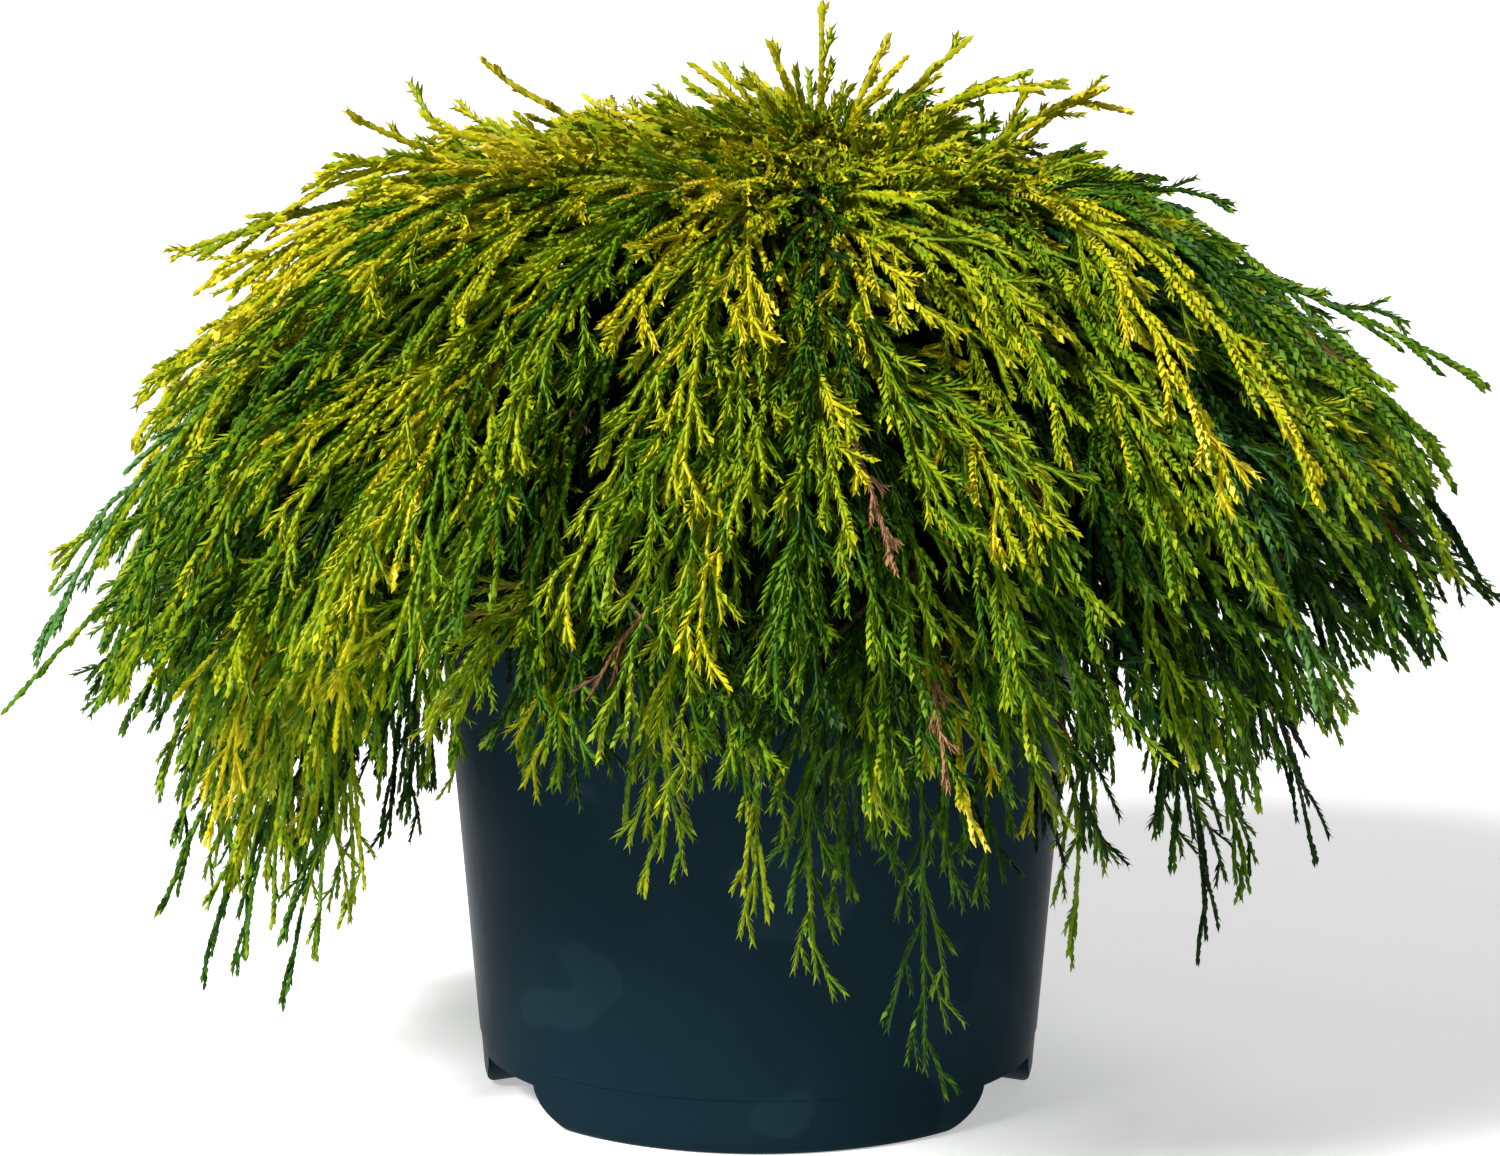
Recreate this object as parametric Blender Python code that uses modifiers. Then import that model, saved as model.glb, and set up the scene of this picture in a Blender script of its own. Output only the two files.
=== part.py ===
"""Potted threadleaf sawara cypress: a golden weeping mound in a five-litre nursery pot.

Metres, +Z up. The origin is the centre of the pot's flat underside, and -Y is the front.
Angles round the plant are in degrees: 0 points at the front and 90 to the right, along +X.
"""

import math
import random

import bmesh
import bpy
from mathutils import Vector

COLLECTION_NAME = "Potted sawara cypress"
SEED = 77
GAP = 0.0003
WELD = 0.000001
UP = Vector((0.0, 0.0, 1.0))

# The pot
POT_HEIGHT = 0.190
POT_BASE_RADIUS = 0.0996
POT_TOP_RADIUS = 0.1150
POT_WALL = 0.0018
POT_FLOOR = 0.0022
POT_STEPS = 36
WALL_SINK = 0.0006
RIM_HEIGHT = 0.008
RIM_OVERHANG = 0.0030
FOOT_ROUND_HEIGHT = 0.009
FOOT_ROUND_INSET = 0.004
FOOT_ROUND_STEPS = 4
MOULD_LINE_HEIGHT = 0.020
MOULD_LINE_STEP = 0.0004

# The drainage notches in the pot's foot
NOTCH_ANGLES = (-63.0, 63.0, 180.0)
NOTCH_HEIGHT = 0.014
NOTCH_ROOF_HALF_WIDTH = 0.0196
NOTCH_FOOT_HALF_WIDTH = 0.0343
NOTCH_BACK_RADIUS = 0.080
NOTCH_FRONT_RADIUS = 0.112
NOTCH_SIDE_STEPS = 5

# The soil
SOIL_TOP = 0.1715
SOIL_DOME = 0.0015

# The trunk leans to the right from the soil up into the crown
TRUNK_FOOT = SOIL_TOP + SOIL_DOME + GAP
TRUNK_TOP = 0.318
TRUNK_LEAN = 0.021
TRUNK_LEAN_POWER = 1.3
TRUNK_SWAY = 0.003
TRUNK_RADIUS = 0.0068
TRUNK_TIP_RADIUS = 0.0030
FLARE_RADIUS = 0.0040
FLARE_HEIGHT = 0.008
TRUNK_SIDES = 8
TRUNK_STATIONS = 10
TRUNK_STATION_POWER = 1.5

# The boughs: each tier rises or falls from the trunk to a ring of tips
BOUGH_SIDES = 5
BOUGH_STATIONS = 5
BOUGH_ARCH = 0.02

# The crown's outline, as the radius reached at each height
CROWN_OUTLINE = {
    "apex": (0.000, 0.366),
    "crown": (0.140, 0.340),
    "shoulder": (0.187, 0.300),
    "flank": (0.232, 0.250),
    "waist": (0.250, 0.200),
    "skirt": (0.256, 0.156),
    "hem": (0.228, 0.124),
    "fringe": (0.210, 0.088),
    "lowest": (0.186, 0.045),
}

# The ragged hem, as the height that the shoots hang down to at each angle round the plant
HEM = (
    (-180.0, 0.062),
    (-120.0, 0.058),
    (-82.0, 0.056),
    (-64.0, 0.084),
    (-50.0, 0.134),
    (-32.0, 0.152),
    (-18.0, 0.130),
    (-6.0, 0.100),
    (16.0, 0.098),
    (26.0, 0.118),
    (38.0, 0.104),
    (50.0, 0.096),
    (84.0, 0.106),
    (120.0, 0.080),
    (180.0, 0.062),
)
HEM_TOP = 0.20

# The crown sags to the right, more and more from the first height to the second
RIGHT_DROP = 0.11
RIGHT_DROP_HEIGHTS = (0.18, 0.30)

# The floors between the tiers of foliage fall away from the trunk as the shoots do
UPPER_FLOOR = (0.312, 0.062, 0.245)
MIDDLE_FLOOR = (0.256, 0.106, 0.260)
TUFT_CONE_FOOT = TRUNK_TOP - 0.006
TUFT_CONE_SLOPE = 0.40

# The crown faces level outwards at this height, and more and more upwards over it
LEVEL_HEIGHT = 0.196

# The weeping shoots. Each is a toothed blade whose teeth are its side sprays, stouter than
# life so that fewer fill the crown
TOOTH_SPACING = 0.034
TOOTH_SWEEP = 0.80
BLADE_ROOT = 0.0017
BLADE_NARROW = 0.0036
BLADE_WIDE = 0.0190
BLADE_TIP = 0.0011
BLADE_THICKNESS = 0.0030
BLADE_SWELL = (0.04, 0.88)
BLADE_TRIMS = (1.0, 0.75, 0.5)
TUFT_TRIMS = (0.6, 0.4)
FAR_BEND = 15.0
STEEPEST = -86.0
STEM_LENGTH = 0.034
STEM_RADIUS = 0.0026
STEM_TIP_RADIUS = 0.0020
STEM_ROOTS = (0.30, 0.95)
TUFT_STEM_LENGTH = 0.016
TURNS = (0.25, 0.92)
SWAY = 0.03
SHORTER = 0.008
SLOT_JITTER = 0.3
SHARE_JITTER = 0.2
TIP_JITTER = 0.006
CLEAR = 0.0008
FLOOR_MARGIN = 0.0012
GOLDEN = 0.618034
TRIES = 14

# Each tier: how many boughs and masses stand round the trunk, where the boughs leave it and
# end, and how its shoots set out, hang and spread over the crown's outline
TIERS = {
    "upper": {
        "count": 6,
        "turn": -4.0,
        "bough_foot": (0.268, 0.302),
        "bough_tip": (0.046, 0.314),
        "bough_radius": (0.0024, 0.0019),
        "layers": ((5, 0.0, 0.0), (4, 0.018, 12.0)),
        "reach": (0.125, 0.275),
        "launch": (22.0, 10.0),
        "droop": (-28.0, -58.0),
    },
    "middle": {
        "count": 8,
        "turn": 4.0,
        "bough_foot": (0.228, 0.264),
        "bough_tip": (0.104, 0.278),
        "bough_radius": (0.0028, 0.0022),
        "layers": ((5, 0.0, 0.0), (3, 0.024, 14.0)),
        "reach": (0.285, 0.380),
        "launch": (8.0, -8.0),
        "droop": (-50.0, -76.0),
    },
    "lower": {
        "count": 10,
        "turn": 17.0,
        "bough_foot": (0.181, 0.222),
        "bough_tip": (0.140, 0.214),
        "bough_radius": (0.0029, 0.0022),
        "layers": ((4, 0.0, 0.0), (3, 0.034, 10.0)),
        "reach": (0.392, 0.490),
        "launch": (-4.0, -16.0),
        "droop": (-66.0, -84.0),
    },
}
TUFT_LAUNCH = (40.0, 80.0)
TUFT_BEND = 48.0
TUFT_SHOOTS = 9
TUFT_JITTER = 12.0
TUFT_RADIUS = (0.030, 0.092)
TUFT_HEIGHT = (0.368, 0.353)

# The furthest tips that stand out of the crown's outline, as x, y, z
REACHING_TIPS = {
    "leader": (0.019, 0.000, 0.386),
    "right leader": (0.043, 0.006, 0.383),
    "left leader": (0.003, -0.008, 0.376),
    "far leader": (0.072, -0.006, 0.371),
    "arching spray": (0.127, 0.020, 0.349),
    "left crown": (-0.098, 0.012, 0.364),
    "left shoulder": (-0.142, -0.020, 0.350),
    "far left shoulder": (-0.205, 0.020, 0.298),
    "right shoulder": (0.255, -0.015, 0.254),
    "left flank": (-0.256, 0.030, 0.182),
    "right flank": (0.264, 0.010, 0.172),
    "furthest left": (-0.259, -0.060, 0.147),
    "lowest": (0.053, -0.170, 0.047),
    "front centre": (0.018, -0.176, 0.084),
    "front right": (0.104, -0.128, 0.078),
    "front left": (-0.160, -0.085, 0.045),
    "left hem": (-0.195, -0.040, 0.052),
    "right hem": (0.153, -0.080, 0.064),
    "back hem": (-0.060, 0.185, 0.060),
    "back right hem": (0.130, 0.150, 0.055),
}

BARK = ("bark", (0.145, 0.082, 0.052), 0.85)
POT_PLASTIC = ("pot plastic", (0.012, 0.026, 0.034), 0.42)
SOIL = ("soil", (0.045, 0.028, 0.018), 0.95)
FOLIAGE = {
    "tuft": ("tuft foliage", (0.46, 0.42, 0.03), 0.6),
    "upper": ("upper foliage", (0.42, 0.40, 0.03), 0.6),
    "middle": ("middle foliage", (0.25, 0.33, 0.03), 0.6),
    "lower": ("lower foliage", (0.09, 0.22, 0.03), 0.6),
}


def clear_scene():
    for obj in list(bpy.data.objects):
        bpy.data.objects.remove(obj, do_unlink=True)


def new_collection(name):
    collection = bpy.data.collections.new(name)
    bpy.context.scene.collection.children.link(collection)
    return collection


def material(look):
    name, colour, roughness = look
    made = bpy.data.materials.get(name) or bpy.data.materials.new(name)
    made.use_nodes = True
    shader = made.node_tree.nodes["Principled BSDF"]
    shader.inputs["Base Color"].default_value = (*colour, 1.0)
    shader.inputs["Roughness"].default_value = roughness
    shader.inputs["Metallic"].default_value = 0.0
    made.diffuse_color = (*colour, 1.0)
    return made


def mesh_from(bm, name):
    bmesh.ops.recalc_face_normals(bm, faces=bm.faces[:])
    mesh = bpy.data.meshes.new(name)
    bm.to_mesh(mesh)
    bm.free()
    return mesh


def add_object(mesh, collection, look=None):
    obj = bpy.data.objects.new(mesh.name, mesh)
    collection.objects.link(obj)
    if look:
        mesh.materials.append(material(look))
    return obj


def make_helper(obj):
    obj.hide_render = True
    obj.display_type = "WIRE"
    return obj


def heading(angle):
    """The level direction at an angle round the plant."""
    turn = math.radians(angle)
    return Vector((math.sin(turn), -math.cos(turn), 0.0))


def mix(low, high, share):
    return low + (high - low) * share


def turned(name, profile, steps, collection, look=None):
    """A profile of (radius, height) points, swept round the Z axis."""
    bm = bmesh.new()
    corners = [bm.verts.new((radius, 0.0, height)) for radius, height in profile]
    for first, second in zip(corners, corners[1:]):
        bm.edges.new((first, second))
    mesh = bpy.data.meshes.new(name)
    bm.to_mesh(mesh)
    bm.free()
    obj = add_object(mesh, collection, look)
    screw = obj.modifiers.new("Turn", "SCREW")
    screw.steps = steps
    screw.render_steps = steps
    screw.use_merge_vertices = True
    screw.merge_threshold = 0.00001
    return obj


def boolean(obj, operation, operand):
    modifier = obj.modifiers.new(operation.title(), "BOOLEAN")
    modifier.operation = operation
    if isinstance(operand, bpy.types.Collection):
        modifier.operand_type = "COLLECTION"
        modifier.collection = operand
    else:
        modifier.object = operand
    return modifier


# Pot and soil


def pot_radius(height):
    return mix(POT_BASE_RADIUS, POT_TOP_RADIUS, height / POT_HEIGHT)


def pot_outer_profile(inset=0.0):
    """The wall's outer side from under the rim down to the underside's centre."""
    line = MOULD_LINE_HEIGHT
    profile = [
        (pot_radius(POT_HEIGHT - RIM_HEIGHT) - inset, POT_HEIGHT - RIM_HEIGHT),
        (pot_radius(line + MOULD_LINE_STEP) - inset, line + MOULD_LINE_STEP),
        (pot_radius(line) - MOULD_LINE_STEP - inset, line),
    ]
    for step in range(FOOT_ROUND_STEPS + 1):
        turn = 0.5 * math.pi * step / FOOT_ROUND_STEPS
        height = FOOT_ROUND_HEIGHT * (1.0 - math.sin(turn))
        fall = FOOT_ROUND_INSET * (1.0 - math.cos(turn))
        radius = pot_radius(FOOT_ROUND_HEIGHT) - MOULD_LINE_STEP - fall
        profile.append((radius - inset, max(height, inset)))
    profile.append((0.0, inset))
    return profile


def pot_inner_radius(height):
    """The inner side follows the wall, and the foot's rounding below it."""
    below = max(0.0, FOOT_ROUND_HEIGHT - height) / FOOT_ROUND_HEIGHT
    return pot_radius(height) - POT_WALL - FOOT_ROUND_INSET * below**2


def notch_outline(grow):
    """Half of a notch, from its foot up to its roof, as (half width, height) points."""
    points = [(NOTCH_FOOT_HALF_WIDTH + grow, -NOTCH_HEIGHT)]
    for step in range(NOTCH_SIDE_STEPS + 1):
        share = step / NOTCH_SIDE_STEPS
        spread = 1.0 - math.sin(0.5 * math.pi * share)
        half_width = mix(NOTCH_ROOF_HALF_WIDTH, NOTCH_FOOT_HALF_WIDTH, spread)
        points.append((half_width + grow, (NOTCH_HEIGHT + grow) * share))
    return points


def notch_prism(name, angle, grow, front_radius, collection):
    """The notch's outline, pushed out from its back wall along the way it faces."""
    half = notch_outline(grow)
    outline = half + [(-side, height) for side, height in reversed(half)]
    back = NOTCH_BACK_RADIUS - grow
    bm = bmesh.new()
    corners = [bm.verts.new((back, side, height)) for side, height in outline]
    face = bm.faces.new(corners)
    pushed = bmesh.ops.extrude_face_region(bm, geom=[face])["geom"]
    moved = [item for item in pushed if isinstance(item, bmesh.types.BMVert)]
    bmesh.ops.translate(bm, verts=moved, vec=(front_radius - back, 0.0, 0.0))
    prism = add_object(mesh_from(bm, name), collection)
    prism.rotation_euler.z = math.radians(angle - 90.0)
    return make_helper(prism)


def make_pot(collection, helpers):
    rim_foot = POT_HEIGHT - RIM_HEIGHT
    profile = [
        (0.0, POT_FLOOR),
        (pot_inner_radius(POT_FLOOR), POT_FLOOR),
        (pot_inner_radius(FOOT_ROUND_HEIGHT), FOOT_ROUND_HEIGHT),
        (pot_inner_radius(POT_HEIGHT), POT_HEIGHT),
        (POT_TOP_RADIUS + RIM_OVERHANG, POT_HEIGHT),
        (POT_TOP_RADIUS + RIM_OVERHANG, rim_foot),
    ]
    pot = turned("pot", profile + pot_outer_profile(), POT_STEPS, collection, POT_PLASTIC)

    # Each notch is a pocket, with a shell of the wall's thickness pushed up into the pot
    within_wall = [(0.0, rim_foot)] + pot_outer_profile(WALL_SINK)
    within = make_helper(turned("within_wall", within_wall, POT_STEPS, helpers))
    for number, angle in enumerate(NOTCH_ANGLES):
        pocket = notch_prism(f"pocket_{number}", angle, POT_WALL, NOTCH_FRONT_RADIUS, helpers)
        boolean(pocket, "INTERSECT", within)
        boolean(pot, "UNION", pocket)
    for number, angle in enumerate(NOTCH_ANGLES):
        notch = notch_prism(f"notch_{number}", angle, 0.0, NOTCH_FRONT_RADIUS, helpers)
        boolean(pot, "DIFFERENCE", notch)
    return pot


def make_soil(collection, helpers):
    floor = POT_FLOOR + GAP
    profile = [
        (0.0, SOIL_TOP + SOIL_DOME),
        (TRUNK_RADIUS + FLARE_RADIUS, SOIL_TOP + SOIL_DOME),
        (pot_inner_radius(SOIL_TOP) - GAP, SOIL_TOP),
        (pot_inner_radius(FOOT_ROUND_HEIGHT) - GAP, FOOT_ROUND_HEIGHT),
        (pot_inner_radius(floor) - GAP, floor),
        (0.0, floor),
    ]
    soil = turned("soil", profile, POT_STEPS, collection, SOIL)
    for number, angle in enumerate(NOTCH_ANGLES):
        grow = POT_WALL + GAP
        over = notch_prism(f"over_pocket_{number}", angle, grow, NOTCH_FRONT_RADIUS, helpers)
        boolean(soil, "DIFFERENCE", over)
    return soil


# Limbs


def tube_mesh(name, points, radii, sides, foot_normal=None):
    """A tapering tube with flat ends, its rings carried along the path without a twist."""
    tangents = []
    for index in range(len(points)):
        before = points[max(index - 1, 0)]
        after = points[min(index + 1, len(points) - 1)]
        tangents.append((after - before).normalized())
    if foot_normal:
        tangents[0] = foot_normal
    across = tangents[0].orthogonal().normalized()
    rings = []
    for point, tangent, radius in zip(points, tangents, radii):
        across = (across - tangent * across.dot(tangent)).normalized()
        other = tangent.cross(across)
        ring = []
        for side in range(sides):
            turn = 2.0 * math.pi * side / sides
            spoke = across * math.cos(turn) + other * math.sin(turn)
            ring.append(point + spoke * radius)
        rings.append(ring)
    return loft(rings, name)


def bend(start, middle, end, count):
    """Points along the quadratic curve that the middle point pulls out."""
    points = []
    for index in range(count):
        share = index / (count - 1)
        points.append(start.lerp(middle, share).lerp(middle.lerp(end, share), share))
    return points


def trunk_point(height):
    share = (height - TRUNK_FOOT) / (TRUNK_TOP - TRUNK_FOOT)
    lean = TRUNK_LEAN * max(share, 0.0) ** TRUNK_LEAN_POWER
    return Vector((lean, TRUNK_SWAY * math.sin(math.pi * share), height))


def trunk_radius(height):
    share = (height - TRUNK_FOOT) / (TRUNK_TOP - TRUNK_FOOT)
    flare = FLARE_RADIUS * math.exp((TRUNK_FOOT - height) / FLARE_HEIGHT)
    return mix(TRUNK_RADIUS, TRUNK_TIP_RADIUS, share) + flare


def make_trunk(collection, helpers):
    """Makes the trunk, and gives a sleeve a gap wider that trims the boughs' feet."""
    heights = []
    for station in range(TRUNK_STATIONS):
        share = (station / (TRUNK_STATIONS - 1)) ** TRUNK_STATION_POWER
        heights.append(mix(TRUNK_FOOT, TRUNK_TOP, share))
    points = [trunk_point(height) for height in heights]
    radii = [trunk_radius(height) for height in heights]
    wider = [radius + GAP for radius in radii]
    add_object(tube_mesh("trunk", points, radii, TRUNK_SIDES, UP), collection, BARK)
    sleeve = add_object(tube_mesh("sleeve", points, wider, TRUNK_SIDES, UP), helpers)
    return make_helper(sleeve), (points, radii)


def foot_share(number, count):
    """Where a bough leaves the trunk within its tier: every other one stands higher."""
    pairs = (count + 1) // 2
    return 0.5 * (number % 2) + 0.5 * (number // 2) / pairs


def make_bough(name, tier, foot_height, angle, collection, sleeve):
    """A limb from the trunk's middle out to its ring of tips, trimmed by the sleeve."""
    foot = trunk_point(foot_height)
    tip_radius, tip_height = tier["bough_tip"]
    tip = Vector((foot.x, foot.y, 0.0)) + heading(angle) * tip_radius + UP * tip_height
    middle = foot.lerp(tip, 0.5)
    middle.z = max(foot.z, tip.z) + BOUGH_ARCH * tip_radius
    points = bend(foot, middle, tip, BOUGH_STATIONS)
    thick, thin = tier["bough_radius"]
    radii = [mix(thick, thin, index / (BOUGH_STATIONS - 1)) for index in range(BOUGH_STATIONS)]
    bough = add_object(tube_mesh(name, points, radii, BOUGH_SIDES), collection, BARK)
    boolean(bough, "DIFFERENCE", sleeve)
    return points, radii


# The crown's outline and each mass's own space


def outline_at(reach):
    """The outline's (radius, height) at a distance along it from the apex."""
    stations = list(CROWN_OUTLINE.values())
    for start, end in zip(stations, stations[1:]):
        length = math.dist(start, end)
        if reach <= length or end == stations[-1]:
            share = min(reach / length, 1.0)
            return mix(start[0], end[0], share), mix(start[1], end[1], share)
        reach -= length


def lifted_to_hem(height, angle):
    """A tip's height, once the lowest part of the crown is drawn up to the ragged hem."""
    if height > HEM_TOP:
        return height
    angle = (angle + 180.0) % 360.0 - 180.0
    lowest = CROWN_OUTLINE["lowest"][1]
    for (start, low), (end, high) in zip(HEM, HEM[1:]):
        if start <= angle <= end:
            hem = mix(low, high, (angle - start) / (end - start))
    return mix(hem, HEM_TOP, (height - lowest) / (HEM_TOP - lowest))


def on_the_outline(centre, angle, reach, inset):
    """A tip at a distance along the outline, which sags on the right and is drawn up at the hem."""
    radius, height = outline_at(reach)
    tip = outward_from(centre, angle, radius - inset)
    low, high = RIGHT_DROP_HEIGHTS
    sag = max(0.0, min(1.0, (height - low) / (high - low)))
    tip.z = lifted_to_hem(height, angle) - sag * RIGHT_DROP * max(0.0, tip.x)
    return tip


def floor_at(floor, radius):
    height, fall, reach = floor
    return height - fall * (radius / reach) ** 3


def over_tuft_cone(point):
    """How far a point lies over the cone that parts the tuft from the masses round it."""
    top = trunk_point(TRUNK_TOP)
    radius = math.hypot(point.x - top.x, point.y - top.y)
    return point.z - TUFT_CONE_FOOT - TUFT_CONE_SLOPE * radius


def outward_from(centre, angle, radius):
    """The point at a radius from the Z axis, seen from a tier's centre at an angle."""
    way = heading(angle)
    along = centre.dot(way)
    reach = -along + math.sqrt(along**2 - centre.dot(centre) + radius**2)
    return centre + way * reach


def in_space(space, point, margin):
    """Whether a point keeps to a mass's own space, by a margin."""
    radius = math.hypot(point.x, point.y)
    floor_margin = margin + FLOOR_MARGIN
    tier = space["tier"]
    if tier == "tuft":
        return over_tuft_cone(point) > floor_margin
    offset = Vector((point.x, point.y, 0.0)) - space["centre"]
    around = math.degrees(math.atan2(offset.x, -offset.y)) - space["angle"]
    around = (around + 180.0) % 360.0 - 180.0
    inside = math.radians(space["half_angle"] - abs(around))
    if offset.length * math.sin(inside) < margin:
        return False
    upper = floor_at(UPPER_FLOOR, radius)
    middle = floor_at(MIDDLE_FLOOR, radius)
    if tier == "upper":
        return over_tuft_cone(point) < -floor_margin and point.z > upper + floor_margin
    if tier == "middle":
        return middle + floor_margin < point.z < upper - floor_margin
    beside_pot = radius > POT_TOP_RADIUS + RIM_OVERHANG + margin + CLEAR
    over_pot = point.z > POT_HEIGHT + margin + CLEAR
    return point.z < middle - floor_margin and (beside_pot or over_pot)


def clear_of(limbs, point, margin):
    """Whether a point is clear of every limb."""
    for points, radii in limbs:
        for start, end, radius in zip(points, points[1:], radii):
            line = end - start
            share = max(0.0, min(1.0, (point - start).dot(line) / line.length_squared))
            if (point - start - line * share).length < radius + margin:
                return False
    return True


def tier_of(point):
    radius = math.hypot(point.x, point.y)
    if over_tuft_cone(point) > 0.0:
        return "tuft"
    if point.z > floor_at(UPPER_FLOOR, radius):
        return "upper"
    if point.z > floor_at(MIDDLE_FLOOR, radius):
        return "middle"
    return "lower"


# Foliage


def weeping_path(root, tip, launch, droop, sway):
    """A shoot that sets out at its launch slope and hangs at its droop slope at the tip."""
    level = Vector((tip.x - root.x, tip.y - root.y, 0.0))
    distance = level.length
    rise = math.tan(math.radians(launch))
    fall = math.tan(math.radians(droop))
    turn = (tip.z - root.z - distance * fall) / (rise - fall)
    turn = max(TURNS[0] * distance, min(TURNS[1] * distance, turn))
    way = level.normalized()
    middle = root + way * turn + UP * (rise * turn)
    middle += way.cross(UP) * (sway * distance)
    length = (middle - root).length + (tip - middle).length
    return bend(root, middle, tip, max(4, round(length / TOOTH_SPACING) + 1))


def outward_at(point):
    """The way the crown faces at a point, between level and up."""
    level = Vector((point.x, point.y, 0.0))
    return (level + UP * max(0.0, point.z - LEVEL_HEIGHT)).normalized()


def blade_rings(path, hand, trim):
    """The blade's rings of three corners, with a ridge on the outer side. The left and right
    corners stand out by turns, swept towards the tip, and so make the teeth."""
    rings = []
    last = len(path) - 1
    for index, point in enumerate(path):
        share = index / last
        before = path[max(index - 1, 0)]
        after = path[min(index + 1, last)]
        tangent = (after - before).normalized()
        side = tangent.cross(outward_at(point)).normalized()
        face = side.cross(tangent)
        sweep = (after - point) * TOOTH_SWEEP
        wide = BLADE_WIDE * trim * math.sin(math.pi * mix(*BLADE_SWELL, share))
        narrow = [side * BLADE_NARROW, side * BLADE_NARROW]
        thick = BLADE_THICKNESS
        if index == 0:
            narrow = [side * BLADE_ROOT, side * BLADE_ROOT]
            thick = BLADE_ROOT
        elif index == last:
            narrow = [side * BLADE_TIP, side * BLADE_TIP]
            thick = BLADE_TIP
        elif (index + hand) % 2:
            narrow[0] = side * (BLADE_NARROW + wide) - sweep
        else:
            narrow[1] = side * (BLADE_NARROW + wide) + sweep
        rings.append([point - narrow[0], point + face * thick, point + narrow[1]])
    return rings


def loft(rings, name):
    bm = bmesh.new()
    corners = [[bm.verts.new(point) for point in ring] for ring in rings]
    for low, high in zip(corners, corners[1:]):
        for side in range(len(low)):
            after = (side + 1) % len(low)
            bm.faces.new((low[side], low[after], high[after], high[side]))
    bm.faces.new(corners[0])
    bm.faces.new(corners[-1])
    bmesh.ops.triangulate(bm, faces=bm.faces[:])
    return mesh_from(bm, name)


def grow_shoot(space, stem, tip, launch, droop, limbs, pieces, chance, trims=BLADE_TRIMS):
    """One weeping shoot, or nothing where it would leave its space or touch a limb."""
    root = stem[0].lerp(stem[-1], chance.uniform(*STEM_ROOTS))
    path = weeping_path(root, tip, launch, droop, chance.uniform(-SWAY, SWAY))
    hand = chance.randrange(2)
    for trim in trims:
        rings = blade_rings(path, hand, trim)
        corners = [point for ring in rings for point in ring]
        if all(in_space(space, point, CLEAR) for point in corners):
            if all(clear_of(limbs, point, CLEAR) for point in corners):
                pieces.append(loft(rings, "shoot"))
                return True
    return False


def fused(name, pieces, collection, look):
    """One union joins the pieces; what it seals inside or leaves loose is dropped. It gives
    nothing where the union can't be closed."""
    joining = new_collection("joining")
    base = add_object(pieces[0], collection)
    for mesh in pieces[1:]:
        add_object(mesh, joining)
    union = boolean(base, "UNION", joining)
    for solver in ("EXACT", "MANIFOLD"):
        union.solver = solver
        graph = bpy.context.evaluated_depsgraph_get()
        mesh = bpy.data.meshes.new_from_object(base.evaluated_get(graph))
        closed = keep_main_body(mesh)
        if closed:
            break
    for obj in [base] + list(joining.objects):
        used = obj.data
        bpy.data.objects.remove(obj, do_unlink=True)
        bpy.data.meshes.remove(used)
    bpy.data.collections.remove(joining)
    if not closed:
        return None
    mesh.name = name
    return add_object(mesh, collection, look)


def keep_main_body(mesh):
    """Keeps the largest body of a mesh, and says whether it is closed."""
    bm = bmesh.new()
    bm.from_mesh(mesh)
    bmesh.ops.remove_doubles(bm, verts=bm.verts[:], dist=WELD)
    bmesh.ops.dissolve_degenerate(bm, dist=WELD, edges=bm.edges[:])
    bmesh.ops.triangulate(bm, faces=bm.faces[:])
    waiting = set(bm.faces)
    bodies = []
    while waiting:
        body = []
        edge_of_body = [waiting.pop()]
        while edge_of_body:
            face = edge_of_body.pop()
            body.append(face)
            for edge in face.edges:
                for other in edge.link_faces:
                    if other in waiting:
                        waiting.remove(other)
                        edge_of_body.append(other)
        bodies.append(body)
    main = max(bodies, key=len)
    spare = [face for body in bodies if body is not main for face in body]
    bmesh.ops.delete(bm, geom=spare, context="FACES")
    closed = all(edge.is_manifold for edge in bm.edges)
    bm.to_mesh(mesh)
    bm.free()
    return closed


def make_stem(tip, before, length):
    """A mass's stem, starting a gap beyond the limb's end and in line with it."""
    way = (tip - before).normalized()
    start = tip + way * GAP
    return [start, start + way * (0.5 * length), start + way * length]


def reaching_tips(space):
    """The far tips that lie in a mass's space."""
    tips = [Vector(place) for place in REACHING_TIPS.values()]
    return [tip for tip in tips if tier_of(tip) == space["tier"] and in_space(space, tip, CLEAR)]


def make_tuft(limbs, collection):
    """The mass on the trunk's top, whose shoots stand up before they arch over."""
    chance = random.Random(SEED)
    points, radii = limbs[0]
    stem = make_stem(points[-1], points[-2], TUFT_STEM_LENGTH)
    space = {"tier": "tuft"}
    stem_radii = [TRUNK_TIP_RADIUS, STEM_RADIUS, STEM_TIP_RADIUS]
    pieces = [tube_mesh("stem", stem, stem_radii, BOUGH_SIDES)]
    tips = reaching_tips(space)
    for number in range(TUFT_SHOOTS):
        angle = 360.0 * number / TUFT_SHOOTS + chance.uniform(-TUFT_JITTER, TUFT_JITTER)
        share = (number * GOLDEN) % 1.0
        radius = mix(*TUFT_RADIUS, share)
        height = mix(*TUFT_HEIGHT, share)
        tips.append(stem[-1] + heading(angle) * radius + UP * (height - stem[-1].z))
    for tip in tips:
        steep = (tip.z - TUFT_HEIGHT[1]) / (REACHING_TIPS["leader"][2] - TUFT_HEIGHT[1])
        launch = mix(*TUFT_LAUNCH, steep)
        droop = launch - TUFT_BEND
        grow_shoot(space, stem, tip, launch, droop, limbs, pieces, chance, TUFT_TRIMS)
    return fused("foliage_tuft", pieces, collection, FOLIAGE["tuft"])


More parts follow.
